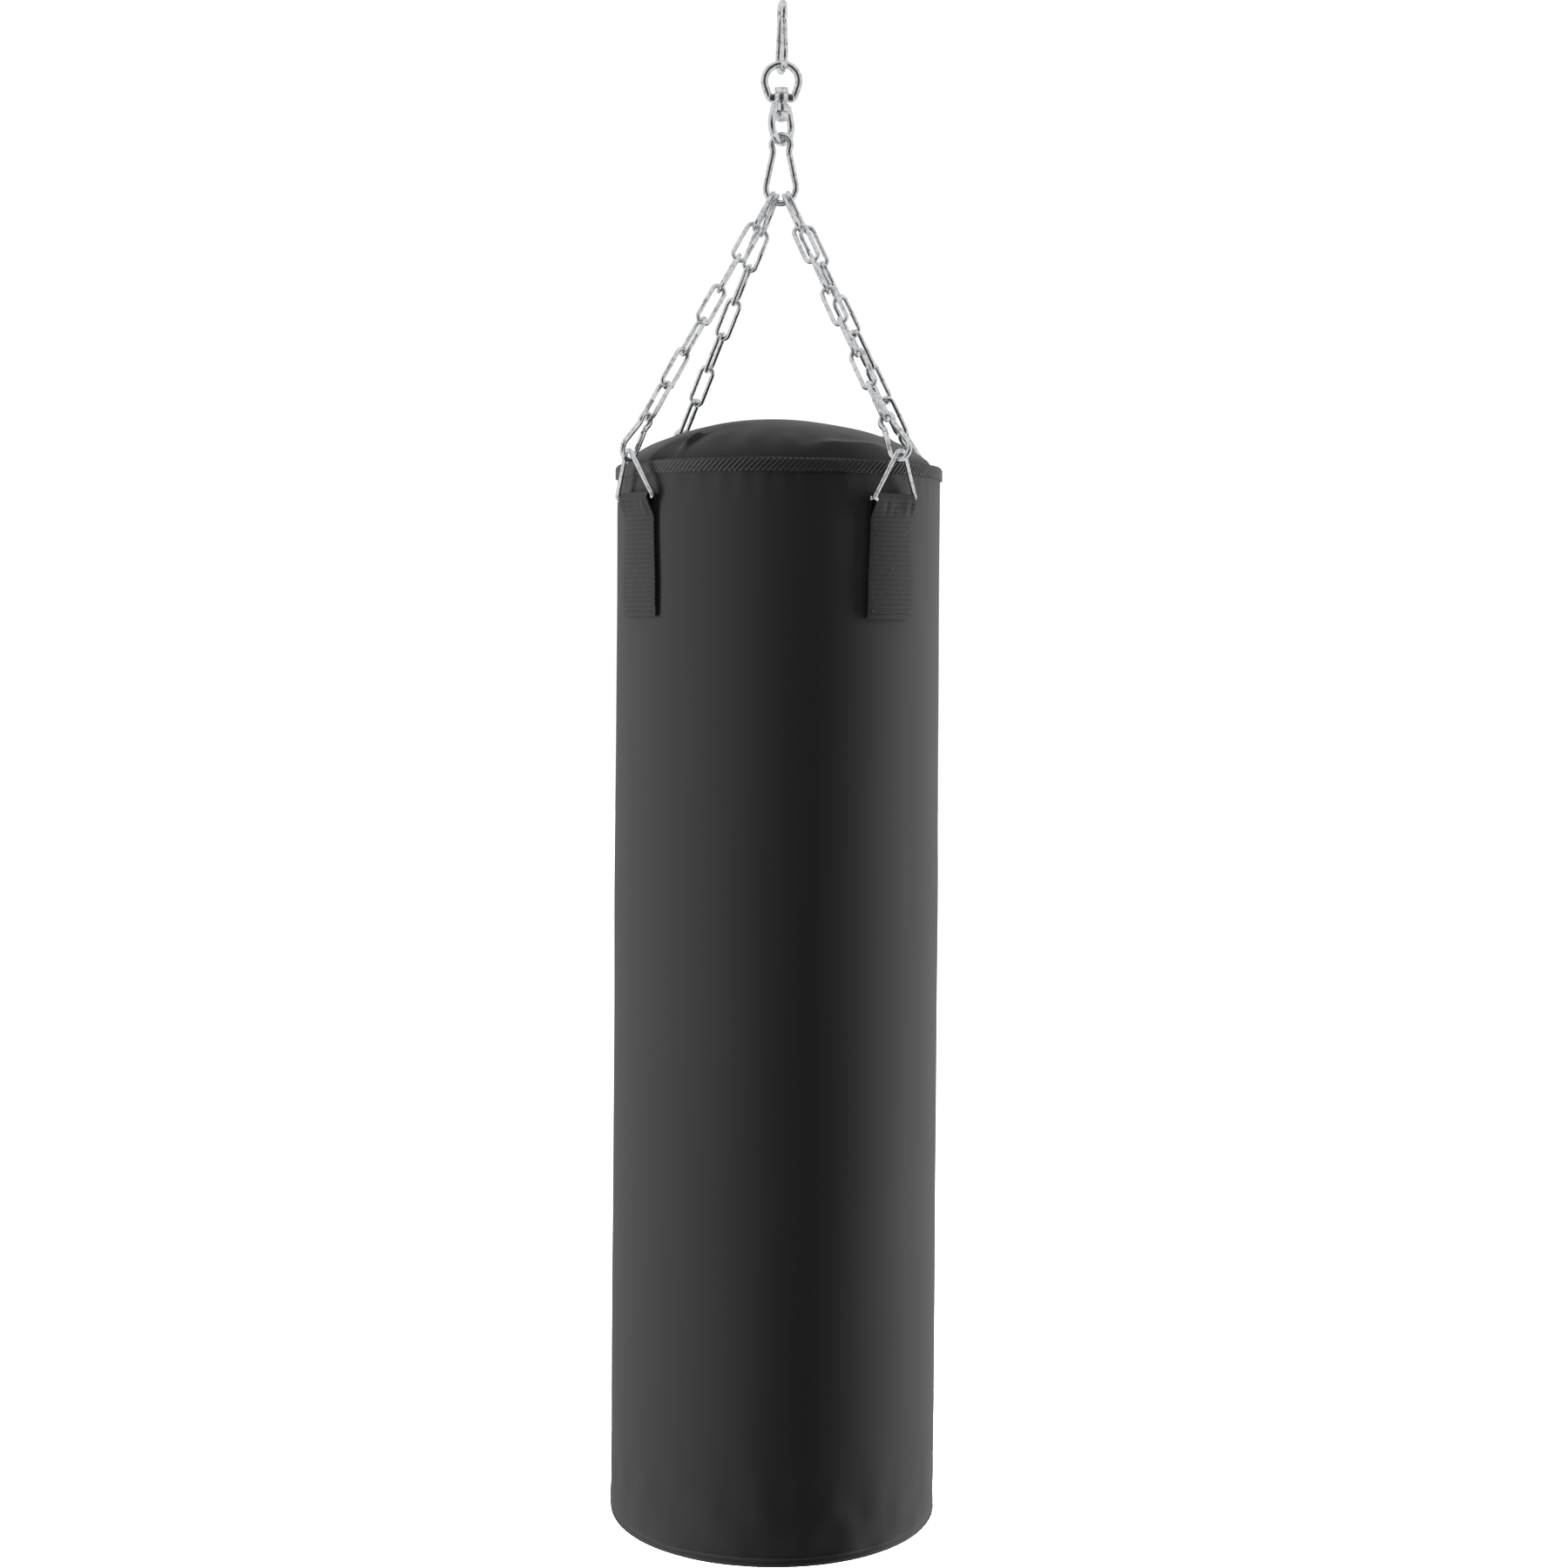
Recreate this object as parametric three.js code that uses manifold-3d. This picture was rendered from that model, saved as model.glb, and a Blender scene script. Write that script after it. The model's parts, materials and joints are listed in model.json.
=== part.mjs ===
// A canvas punching bag and the rig that it hangs from: a snap hook, a swivel, a second snap
// hook, four chains with their own small snap hooks, four wire triangles and four sewn straps.
// Millimetres, +Z up, +X to the right, -Y to the front. The origin is where a ceiling eye
// bears on the inside of the top hook.

import * as THREE from 'three';
import { mergeVertices } from 'three/addons/utils/BufferGeometryUtils.js';
import Module from 'manifold-3d';

const wasm = await Module();
wasm.setup();

// ---------------------------------------------------------------- driving dimensions

const FIT = 0.3; // clearance between pieces that bear on each other

// Snap hooks, all outer sizes
const BIG_HOOK = { length: 70, wire: 6, width: 35, eyeWidth: 24, tongue: 2, pin: 1.2 };
const SMALL_HOOK = { length: 53.5, wire: 5, width: 26, eyeWidth: 18.5, tongue: 1.6, pin: 1 };
const HINGE_HEIGHT = 0.33; // of the hook's length, above the bar
const EYE_SPLAY = THREE.MathUtils.degToRad(20);
const NECK_LENGTH = 3.2;
const NECK_RADIUS = 7;
const NOSE_SHARE = 0.6; // of the wire, the length of the nose and of its tongue
const RIVET_RECESS = 0.2; // of the rivet's heads, inside the wire's sides
const TOP_HOOK_TURN = THREE.MathUtils.degToRad(-78);
const LOWER_HOOK_TURN = THREE.MathUtils.degToRad(-10);

// Swivel: two equal eyes on one bolt
const SWIVEL = { width: 39.5, height: 39.3, wire: 7, base: 7.6, boss: 15, flat: 8 };
const SWIVEL_TAPER = THREE.MathUtils.degToRad(20);
const SWIVEL_CORNER = 2.5;
const SWIVEL_GAP = 2.1; // between the two bases
const LOWER_EYE_TURN = THREE.MathUtils.degToRad(56);
const BOLT = { shank: 7, acrossCorners: 15, head: 5.3, nut: 7, tail: 1.5 };

// Chain: welded long links
const LINK = { pitch: 37.4, wire: 4.2, width: 17 };
const LINKS_PER_LEG = 7;
const LINK_SEAT = 1.4; // room for the hook's curved wire in the end of each first link

// Legs, in degrees: the bearing from the front, positive to the right, the seat on the lower
// hook's bend, and how far the leg twists on its way down
const LEGS = [
  { name: 'front_left', bearing: -55, seat: -42, twist: -60 },
  { name: 'back_left', bearing: -139, seat: -24, twist: 20 },
  { name: 'front_right', bearing: 41, seat: 24, twist: 20 },
  { name: 'back_right', bearing: 125, seat: 42, twist: -60 },
];

// Wire triangles and webbing straps
const TRIANGLE = { width: 61, height: 48, wire: 4.3, apexRadius: 5.5, cornerRadius: 2.6 };
const TRIANGLE_SEAT = 2.5; // extra drop of the small hook's bar below the triangle's apex
const TRIANGLE_STANDOFF = 14.5; // of the apex, out from the bag's rim
const STRAP = { width: 55, length: 108, ply: 2, throat: 0.83 };
const STRAP_SEAM_DROP = 18;

// Bag
const RIM_TOP = -436;
const BASE_SEAM = -1434;
const RIM_RADIUS = 153.6;
const BASE_RADIUS = 156.4;
const CANVAS = 2;
const TAPE = { ply: 1.2, outside: 11.5, inside: 5 };
const COVER_HEM = 12; // depth of the top cover's hem inside the rim
const DOME = { rise: 42, dip: 7, power: 0.7, steps: 6 };
const BASE_BULGE = { depth: 11, width: 34, steps: 4 };
const WELT = { width: 5, proud: 1.4 };
const BAG_SIDES = 32;

const WIRE_SIDES = 8;
const LINK_SIDES = 6;
const BEND_STEP = THREE.MathUtils.degToRad(36);

// ---------------------------------------------------------------- finishes

const finish = (color, roughness, metalness) => ({ color, roughness, metalness });
const PLATED_STEEL = finish('#c9cbcd', 0.22, 1);
const CANVAS_BLACK = finish('#222223', 0.85, 0);
const WEBBING_BLACK = finish('#1a1a1b', 0.8, 0);
const TAPE_BLACK = finish('#202021', 0.8, 0);
const TEXTILE_FILL = finish('#8c8880', 0.95, 0);

// ---------------------------------------------------------------- wires

/** The centre line of a bent wire: a list of points, one section of the wire at each. */
class WireLine extends THREE.Curve {
  constructor(points, closed) {
    super();
    this.points = points;
    this.closed = closed;
  }

  get spans() {
    return this.closed ? this.points.length : this.points.length - 1;
  }

  at(index) {
    const count = this.points.length;
    const inside = this.closed ? (index + count) % count : THREE.MathUtils.clamp(index, 0, count - 1);
    return this.points[inside];
  }

  getPointAt(u, target = new THREE.Vector3()) {
    return target.copy(this.at(Math.round(u * this.spans)));
  }

  getTangentAt(u, target = new THREE.Vector3()) {
    const index = Math.round(u * this.spans);
    const here = this.at(index);
    const before = here.clone().sub(this.at(index - 1)).normalize();
    const after = this.at(index + 1).clone().sub(here).normalize();
    return target.addVectors(before, after).normalize();
  }
}

/** Points of a flat line in XZ through corners [x, z, radius], each rounded to its radius. */
function roundedLine(corners, closed) {
  const points = [];
  const add = (point) => {
    const last = points.at(-1);
    if (!last || last.distanceTo(point) > 0.01) points.push(point);
  };
  corners.forEach(([x, z, radius = 0], i) => {
    const corner = new THREE.Vector2(x, z);
    const isEnd = !closed && (i === 0 || i === corners.length - 1);
    if (isEnd || radius === 0) {
      add(corner);
      return;
    }
    const [beforeX, beforeZ] = corners.at(i - 1);
    const [afterX, afterZ] = corners[(i + 1) % corners.length];
    const arriving = corner.clone().sub(new THREE.Vector2(beforeX, beforeZ)).normalize();
    const leaving = new THREE.Vector2(afterX, afterZ).sub(corner).normalize();
    const turn = Math.atan2(arriving.cross(leaving), arriving.dot(leaving));
    const start = corner.clone().addScaledVector(arriving, -radius * Math.tan(Math.abs(turn) / 2));
    const side = Math.sign(turn);
    const centre = new THREE.Vector2(-arriving.y, arriving.x).multiplyScalar(radius * side).add(start);
    const steps = Math.max(1, Math.ceil(Math.abs(turn) / BEND_STEP));
    for (let step = 0; step <= steps; step += 1) {
      add(start.clone().rotateAround(centre, (turn * step) / steps));
    }
  });
  if (closed && points[0].distanceTo(points.at(-1)) < 0.01) points.pop();
  return points.map((point) => new THREE.Vector3(point.x, 0, point.y));
}

/** A wire ring or link whose ends are welded together. */
function closedWire(corners, wire, sides) {
  const line = new WireLine(roundedLine(corners, true), true);
  return new THREE.TubeGeometry(line, line.spans, wire / 2, sides, true);
}

/** A bent wire with two free ends. */
function openWire(corners, wire) {
  const line = new WireLine(roundedLine(corners, false), false);
  const section = new THREE.Shape().absarc(0, 0, wire / 2, 0, 2 * Math.PI);
  const options = { steps: line.spans, extrudePath: line, curveSegments: WIRE_SIDES / 2 };
  return new THREE.ExtrudeGeometry(section, { ...options, bevelEnabled: false });
}

/** Half the width of a loop's shoulder, whose flanks lean by an angle and touch its arc. */
const shoulder = (radius, lean) => radius / Math.tan((Math.PI / 2 - lean) / 2);

// ---------------------------------------------------------------- solids

/** A geometry as a solid that can be cut and joined. */
function solid(geometry, matrix = new THREE.Matrix4()) {
  const bare = geometry.clone().applyMatrix4(matrix);
  bare.deleteAttribute('normal');
  bare.deleteAttribute('uv');
  const merged = mergeVertices(bare, 1e-4);
  const vertProperties = new Float32Array(merged.attributes.position.array);
  const triVerts = new Uint32Array(merged.index.array);
  return new wasm.Manifold(new wasm.Mesh({ numProp: 3, vertProperties, triVerts }));
}

/** The geometry of a solid that has been cut or joined. */
function geometryOf(body) {
  const mesh = body.getMesh();
  const geometry = new THREE.BufferGeometry();
  geometry.setAttribute('position', new THREE.BufferAttribute(mesh.vertProperties, 3));
  geometry.setIndex(new THREE.BufferAttribute(mesh.triVerts, 1));
  return geometry;
}

/** A box given by its lowest and highest corners. */
function block(low, high, matrix) {
  const [x, y, z] = high.map((value, i) => value - low[i]);
  const geometry = new THREE.BoxGeometry(x, y, z);
  geometry.translate(low[0] + x / 2, low[1] + y / 2, low[2] + z / 2);
  return solid(geometry, matrix);
}

/** A round bar along Y, centred on the origin. */
const crossBar = (radius, length, matrix) =>
  solid(new THREE.CylinderGeometry(radius, radius, length, WIRE_SIDES + 2), matrix);

/** A bar along Z from one height to another, round or with few sides. */
function upright(radius, low, high, sides = 2 * WIRE_SIDES) {
  const geometry = new THREE.CylinderGeometry(radius, radius, high - low, sides);
  geometry.rotateX(Math.PI / 2);
  geometry.translate(0, 0, (low + high) / 2);
  return solid(geometry);
}

/** A solid turned about Z from a closed outline of [radius, height] points, in either sense. */
function turned(outline) {
  const points = outline.map(([radius, height]) => new THREE.Vector2(radius, height));
  if (THREE.ShapeUtils.area(points) < 0) points.reverse();
  points.push(points[0]);
  return new THREE.LatheGeometry(points, BAG_SIDES).rotateX(Math.PI / 2);
}

/** A named piece. */
function piece(name, geometry, look, parent) {
  const mesh = new THREE.Mesh(geometry, new THREE.MeshStandardMaterial(look));
  mesh.name = name;
  parent.add(mesh);
  return mesh;
}

/** A group whose X and Z axes and origin are given; it holds one piece or a few. */
function frameGroup(parent, origin, xAxis, zAxis) {
  const yAxis = new THREE.Vector3().crossVectors(zAxis, xAxis);
  const group = new THREE.Group();
  group.quaternion.setFromRotationMatrix(new THREE.Matrix4().makeBasis(xAxis, yAxis, zAxis));
  group.position.copy(origin);
  parent.add(group);
  return group;
}

// ---------------------------------------------------------------- snap hooks

/**
 * The lines of a snap hook in its own plane XZ: the bar at the middle of the wide bend is the
 * origin, the eye is at the top and the gate is on the right.
 */
function hookLines({ length, wire, width, eyeWidth }) {
  const bend = (width - wire) / 2;
  const eye = (eyeWidth - wire) / 2;
  const top = length - wire;
  const flankX = eye * Math.cos(EYE_SPLAY);
  const flankZ = top - eye - eye * Math.sin(EYE_SPLAY);
  const neckX = flankX - NECK_LENGTH * Math.sin(EYE_SPLAY);
  const neckZ = flankZ - NECK_LENGTH * Math.cos(EYE_SPLAY);
  const rise = neckZ - bend;
  const lean = Math.atan2(rise, neckX) - Math.acos(bend / Math.hypot(neckX, rise));
  const hingeZ = HINGE_HEIGHT * length;
  const hingeX = neckX + (neckZ - hingeZ) * Math.tan(lean);
  const reach = Math.hypot(neckX - hingeX, neckZ - hingeZ);
  const gate = new THREE.Matrix4().makeRotationY(-lean).setPosition(hingeX, 0, hingeZ);
  return { bend, eye, top, neckX, neckZ, lean, hingeX, hingeZ, reach, gate };
}

/** The body of a snap hook: a bent wire whose two ends are flattened to tongues. */
function hookBody(size) {
  const { wire, tongue, pin } = size;
  const { bend, eye, top, neckX, neckZ, lean, reach, gate } = hookLines(size);
  const along = (distance) => {
    const point = new THREE.Vector3(0, 0, distance).applyMatrix4(gate);
    return [point.x, point.z];
  };
  const nose = NOSE_SHARE * wire;
  const bottom = shoulder(bend, lean);
  const crown = shoulder(eye, EYE_SPLAY);
  const line = [
    along(wire),
    [bottom, 0, bend],
    [-bottom, 0, bend],
    [-neckX, neckZ, NECK_RADIUS],
    [-crown, top, eye],
    [crown, top, eye],
    [neckX, neckZ, NECK_RADIUS],
    along(reach - 2 * nose),
  ];
  let body = solid(openWire(line, wire));
  const hingeRoom = wire / 2 + 2 * FIT;
  for (const side of [-1, 1]) {
    const low = side > 0 ? tongue / 2 : -wire;
    const high = side > 0 ? wire : -tongue / 2;
    body = body.subtract(block([-wire, low, -hingeRoom], [wire, high, 2 * wire], gate));
    body = body.subtract(block([-wire, low, reach - 3 * nose], [wire, high, reach - nose], gate));
  }
  const tip = block([-wire, -wire, 0], [wire, wire, 2 * wire], gate);
  body = body.subtract(tip.subtract(crossBar(wire / 2 - FIT, 2 * wire, gate)));
  return geometryOf(body.subtract(crossBar(pin + FIT, 2 * wire, gate)));
}

/** The sprung gate of a snap hook with its rivet: a rod that forks over both tongues. */
function hookGate(size) {
  const { wire, tongue, pin } = size;
  const { reach, gate } = hookLines(size);
  const nose = NOSE_SHARE * wire;
  const end = reach - nose - FIT;
  const slot = tongue / 2 + FIT;
  const keep = block([-wire, -wire, 0], [wire, wire, reach]).add(crossBar(wire / 2, 2 * wire));
  const hingeSlot = block([-wire, -slot, -wire], [wire, slot, wire / 2 + FIT]);
  const noseSlot = block([-wire, -slot, end - nose], [wire, slot, reach]);
  const rod = upright(wire / 2, -wire / 2, end, WIRE_SIDES).intersect(keep);
  const rivet = crossBar(pin, wire - 2 * RIVET_RECESS);
  const body = rod.subtract(hingeSlot).subtract(noseSlot).add(rivet);
  const geometry = geometryOf(body);
  geometry.applyMatrix4(gate);
  return geometry;
}

/** Adds a snap hook's body and gate to a group. */
function addHook(group, name, size) {
  piece(`${name}_body`, hookBody(size), PLATED_STEEL, group);
  piece(`${name}_gate`, hookGate(size), PLATED_STEEL, group);
}

// ---------------------------------------------------------------- swivel

const EYE_RADIUS = (SWIVEL.width - SWIVEL.wire) / 2;
const EYE_CROWN = SWIVEL.height - SWIVEL.base / 2 - SWIVEL.wire / 2; // above the base's middle

/** One eye of the swivel, with its drilled base centred on the origin and its crown up. */
function swivelEye() {
  const { wire, base, boss, flat } = SWIVEL;
  const sin = Math.sin(SWIVEL_TAPER);
  const cos = Math.cos(SWIVEL_TAPER);
  const tangentZ = EYE_CROWN - EYE_RADIUS - EYE_RADIUS * sin;
  const foot = EYE_RADIUS * cos - (tangentZ * sin) / cos;
  const crown = shoulder(EYE_RADIUS, SWIVEL_TAPER);
  const corners = [
    [foot, 0, SWIVEL_CORNER],
    [crown, EYE_CROWN, EYE_RADIUS],
    [-crown, EYE_CROWN, EYE_RADIUS],
    [-foot, 0, SWIVEL_CORNER],
  ];
  const bar = block([-foot, -flat / 2, -base / 2], [foot, flat / 2, base / 2]);
  const hub = upright(boss / 2, -base / 2, base / 2);
  const bore = upright(BOLT.shank / 2 + FIT, -base, base);
  return geometryOf(solid(closedWire(corners, wire, WIRE_SIDES)).add(bar).add(hub).subtract(bore));
}

// Heights down the rig, each piece bearing on the one above it
const TOP_BAR = BIG_HOOK.wire / 2 - (BIG_HOOK.length - BIG_HOOK.wire);
const UPPER_CROWN = TOP_BAR + BIG_HOOK.wire / 2 + FIT + SWIVEL.wire / 2;
const UPPER_BASE = UPPER_CROWN - EYE_CROWN;
const LOWER_BASE = UPPER_BASE - SWIVEL.base - SWIVEL_GAP;
const LOWER_CROWN = LOWER_BASE - EYE_CROWN;
const LOWER_EYE_TOP = LOWER_CROWN + SWIVEL.wire / 2 + FIT + BIG_HOOK.wire / 2;
const LOWER_BAR = LOWER_EYE_TOP - (BIG_HOOK.length - BIG_HOOK.wire);

function addSwivel(parent) {
  const hex = BOLT.acrossCorners / 2;
  const headSeat = UPPER_BASE + SWIVEL.base / 2 + FIT;
  const nutSeat = LOWER_BASE - SWIVEL.base / 2 - FIT;
  const upper = piece('swivel_upper_eye', swivelEye(), PLATED_STEEL, parent);
  upper.position.z = UPPER_BASE;
  const lower = piece('swivel_lower_eye', swivelEye(), PLATED_STEEL, parent);
  lower.rotation.set(Math.PI, 0, LOWER_EYE_TURN);
  lower.rotation.order = 'ZYX';
  lower.position.z = LOWER_BASE;
  const head = upright(hex, headSeat, headSeat + BOLT.head, 6);
  const shank = upright(BOLT.shank / 2, nutSeat - BOLT.nut - BOLT.tail, headSeat + BOLT.head / 2);
  piece('swivel_bolt', geometryOf(head.add(shank)), PLATED_STEEL, parent);
  const nut = upright(hex, nutSeat - BOLT.nut, nutSeat, 6);
  const thread = upright(BOLT.shank / 2 + FIT, nutSeat - 2 * BOLT.nut, nutSeat + 1);
  piece('swivel_nut', geometryOf(nut.subtract(thread)), PLATED_STEEL, parent);
}

// ---------------------------------------------------------------- chain legs

const LINK_GEOMETRY = (() => {
  const halfWidth = (LINK.width - LINK.wire) / 2;
  const halfLength = (LINK.pitch + LINK.wire) / 2;
  const corners = [[1, 1], [-1, 1], [-1, -1], [1, -1]];
  const rounded = corners.map(([x, z]) => [x * halfWidth, z * halfLength, halfWidth]);
  return closedWire(rounded, LINK.wire, LINK_SIDES);
})();

const FIRST_LINK = LINK.pitch / 2 - BIG_HOOK.wire / 2 - LINK_SEAT; // its middle, below the bar
const LINK_SPACING = LINK.pitch - FIT;
const HOOK_EYE = FIRST_LINK + (LINKS_PER_LEG - 1) * LINK_SPACING + LINK.pitch / 2
  - SMALL_HOOK.wire / 2 - FIT;
const HOOK_BAR = HOOK_EYE + SMALL_HOOK.length - SMALL_HOOK.wire;
const LEG_LENGTH = HOOK_BAR - SMALL_HOOK.wire / 2 - TRIANGLE.wire / 2 - FIT - TRIANGLE_SEAT;

/** Where a leg starts on the lower hook, where it ends at its triangle, and its direction. */
function legLine({ bearing, seat }) {
  const bend = (BIG_HOOK.width - BIG_HOOK.wire) / 2;
  const angle = THREE.MathUtils.degToRad(seat);
  const start = new THREE.Vector3(bend * Math.sin(angle), 0, 0);
  start.applyAxisAngle(new THREE.Vector3(0, 0, 1), LOWER_HOOK_TURN);
  start.z = LOWER_BAR + bend * (1 - Math.cos(angle));
  const turn = THREE.MathUtils.degToRad(bearing);
  const radius = RIM_RADIUS + TRIANGLE_STANDOFF;
  const end = new THREE.Vector3(radius * Math.sin(turn), -radius * Math.cos(turn), 0);
  const across = Math.hypot(end.x - start.x, end.y - start.y);
  end.z = start.z - Math.sqrt(LEG_LENGTH ** 2 - across ** 2);
  const down = end.clone().sub(start).normalize();
  return { start, end, down, turn, radius };
}

/**
 * Seven links and a small snap hook in line. Each is turned a quarter from the one before and
 * a little more, as the leg twists on its way down.
 */
function addLeg(parent, { name, twist }, { start, down }, flatNormal) {
  const up = down.clone().negate();
  const across = new THREE.Vector3().crossVectors(down, flatNormal);
  const place = (distance, order) => {
    const normal = order % 2 ? across.clone().negate() : flatNormal.clone();
    normal.applyAxisAngle(down, THREE.MathUtils.degToRad((twist * order) / LINKS_PER_LEG));
    const xAxis = new THREE.Vector3().crossVectors(normal, up);
    return frameGroup(parent, start.clone().addScaledVector(down, distance), xAxis, up);
  };
  for (let i = 0; i < LINKS_PER_LEG; i += 1) {
    const group = place(FIRST_LINK + i * LINK_SPACING, i);
    piece(`${name}_link_${i + 1}`, LINK_GEOMETRY, PLATED_STEEL, group);
  }
  addHook(place(HOOK_BAR, LINKS_PER_LEG), `${name}_hook`, SMALL_HOOK); // gate towards the bag
}

// ---------------------------------------------------------------- triangles and straps

const TRIANGLE_GEOMETRY = (() => {
  const { width, height, wire, apexRadius, cornerRadius } = TRIANGLE;
  const foot = (width - wire) / 2;
  const drop = height - wire;
  const flank = Math.atan2(foot - apexRadius, drop);
  const peak = apexRadius / Math.sin(flank) - apexRadius;
  const corners = [
    [0, peak, apexRadius],
    [-foot, -drop, cornerRadius],
    [foot, -drop, cornerRadius],
  ];
  return closedWire(corners, wire, WIRE_SIDES);
})();

/** A strap folded over the triangle's bar at the origin and sewn flat on the bag below it. */
function strapGeometry(bagGap) {
  const { width, length, ply, throat } = STRAP;
  const hole = TRIANGLE.wire / 2 + FIT;
  const loop = hole + ply;
  const back = bagGap - FIT;
  const front = back - 2 * ply;
  const outline = new THREE.Shape();
  outline.moveTo(back, -length);
  outline.lineTo(back, -STRAP_SEAM_DROP);
  outline.lineTo(Math.min(loop, back), -loop / 2);
  outline.absarc(0, 0, loop, 0, Math.PI, false);
  outline.lineTo(front, -STRAP_SEAM_DROP);
  outline.lineTo(front, -length);
  outline.closePath();
  outline.holes.push(new THREE.Path().absarc(0, 0, hole, 0, 2 * Math.PI, true));
  const options = { depth: width, steps: 4, curveSegments: 5, bevelEnabled: false };
  const geometry = new THREE.ExtrudeGeometry(outline, options);
  geometry.translate(0, 0, -width / 2);
  const axes = [new THREE.Vector3(0, 1, 0), new THREE.Vector3(0, 0, 1), new THREE.Vector3(1, 0, 0)];
  geometry.applyMatrix4(new THREE.Matrix4().makeBasis(...axes));
  const place = geometry.attributes.position;
  for (let i = 0; i < place.count; i += 1) {
    const x = place.getX(i);
    const sewn = THREE.MathUtils.smoothstep(-place.getZ(i), loop, STRAP_SEAM_DROP);
    const sag = RIM_RADIUS - Math.sqrt(RIM_RADIUS ** 2 - x ** 2);
    place.setY(i, place.getY(i) + sag * sewn);
    place.setX(i, x * THREE.MathUtils.lerp(throat, 1, sewn));
  }
  return geometry;
}

/** A triangle leans in from the leg to its strap, whose loop rests against the bag. */
function addTriangleAndStrap(parent, name, { end, turn, radius }) {
  const group = new THREE.Group();
  group.position.copy(end);
  group.rotation.z = turn;
  parent.add(group);
  const drop = TRIANGLE.height - TRIANGLE.wire;
  const barGap = TRIANGLE.wire / 2 + STRAP.ply + 2 * FIT; // from the bar's middle to the canvas
  const inward = radius - bagRadius(end.z - drop) - barGap;
  const triangle = piece(`${name}_triangle`, TRIANGLE_GEOMETRY, PLATED_STEEL, group);
  triangle.rotation.x = Math.asin(inward / drop);
  const barHeight = -Math.sqrt(drop ** 2 - inward ** 2);
  const foot = end.z + barHeight - STRAP.length;
  const footGap = barGap + bagRadius(end.z - drop) - bagRadius(foot);
  const strap = piece(`${name}_strap`, strapGeometry(footGap), WEBBING_BLACK, group);
  strap.position.set(0, inward, barHeight);
}

// ---------------------------------------------------------------- bag

/** Outer radius of the canvas at a height. */
function bagRadius(z) {
  return THREE.MathUtils.mapLinear(z, RIM_TOP, BASE_SEAM, RIM_RADIUS, BASE_RADIUS);
}

const DOME_EDGE = RIM_RADIUS - CANVAS - 3 * TAPE.ply - 4 * FIT;

/** Height of the top cover's outside at a radius. */
const domeHeight = (radius) =>
  RIM_TOP - DOME.dip + (DOME.rise + DOME.dip) * (1 - (radius / DOME_EDGE) ** 2) ** DOME.power;

/** Points of the dome from its middle out to its edge, lowered by a distance. */
function domeLine(lowered, edge) {
  return Array.from({ length: DOME.steps + 1 }, (_, i) => {
    const radius = (edge * i) / DOME.steps;
    return [radius, domeHeight(radius) - lowered];
  });
}

function addBag(parent) {
  const sewnTop = RIM_TOP - TAPE.ply - FIT;
  const coverFoot = RIM_TOP - COVER_HEM;
  const wallIn = RIM_RADIUS - CANVAS;
  const tapeFoot = RIM_TOP - TAPE.outside;
  const shell = [
    [bagRadius(sewnTop) - CANVAS, sewnTop],
    [bagRadius(BASE_SEAM) - CANVAS, BASE_SEAM],
    [bagRadius(BASE_SEAM), BASE_SEAM],
    [bagRadius(sewnTop), sewnTop],
  ];
  piece('bag_shell', turned(shell), CANVAS_BLACK, parent);

  const domeInside = DOME_EDGE - 3 * CANVAS;
  const hemOut = wallIn - FIT;
  const hemIn = hemOut - TAPE.ply;
  const cover = [
    ...domeLine(0, DOME_EDGE - FIT).slice(1),
    [hemIn, coverFoot + CANVAS],
    [hemIn, sewnTop],
    [hemOut, sewnTop],
    [hemOut, coverFoot],
    ...domeLine(CANVAS, domeInside).reverse(),
    [0, domeHeight(0)],
  ];
  piece('top_cover', turned(cover), CANVAS_BLACK, parent);

  const tapeOut = RIM_RADIUS + 3 * FIT + TAPE.ply;
  const tapeIn = hemIn - FIT - TAPE.ply;
  const tape = [
    [tapeIn, RIM_TOP - TAPE.inside],
    [hemIn - FIT, RIM_TOP - TAPE.inside],
    [hemIn - FIT, RIM_TOP - TAPE.ply],
    [tapeOut - TAPE.ply, RIM_TOP - TAPE.ply],
    [tapeOut - TAPE.ply, tapeFoot],
    [tapeOut, tapeFoot],
    [tapeOut, RIM_TOP],
    [tapeIn, RIM_TOP],
  ];
  piece('rim_tape', turned(tape), TAPE_BLACK, parent);

  const { depth, width, steps } = BASE_BULGE;
  const baseTop = BASE_SEAM - FIT;
  const bulge = Array.from({ length: steps + 1 }, (_, i) => {
    const angle = (Math.PI / 2) * (i / steps);
    return [BASE_RADIUS - width + width * Math.sin(angle), baseTop - depth * Math.cos(angle)];
  });
  const base = [[0, baseTop - depth], ...bulge, [BASE_RADIUS, baseTop], [0, baseTop]];
  const baseDisc = base.filter(([r, z], i) => i === 0 || r !== base[i - 1][0] || z !== base[i - 1][1]);
  piece('base_disc', turned(baseDisc), CANVAS_BLACK, parent);

  const weltIn = BASE_RADIUS + FIT;
  const welt = [
    [weltIn, BASE_SEAM - WELT.width / 2],
    [weltIn + WELT.proud, BASE_SEAM - WELT.width / 3],
    [weltIn + WELT.proud, BASE_SEAM + WELT.width / 3],
    [weltIn, BASE_SEAM + WELT.width / 2],
  ];
  piece('base_welt', turned(welt), TAPE_BLACK, parent);

  const fillTop = coverFoot - FIT;
  const filling = [
    ...domeLine(CANVAS + 2 * FIT, domeInside).filter(([, z]) => z > fillTop),
    [bagRadius(fillTop) - CANVAS - 2 * FIT, fillTop],
    [bagRadius(BASE_SEAM) - CANVAS - 2 * FIT, BASE_SEAM + FIT],
    [0, BASE_SEAM + FIT],
  ];
  piece('textile_filling', turned(filling), TEXTILE_FILL, parent);
}

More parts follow.
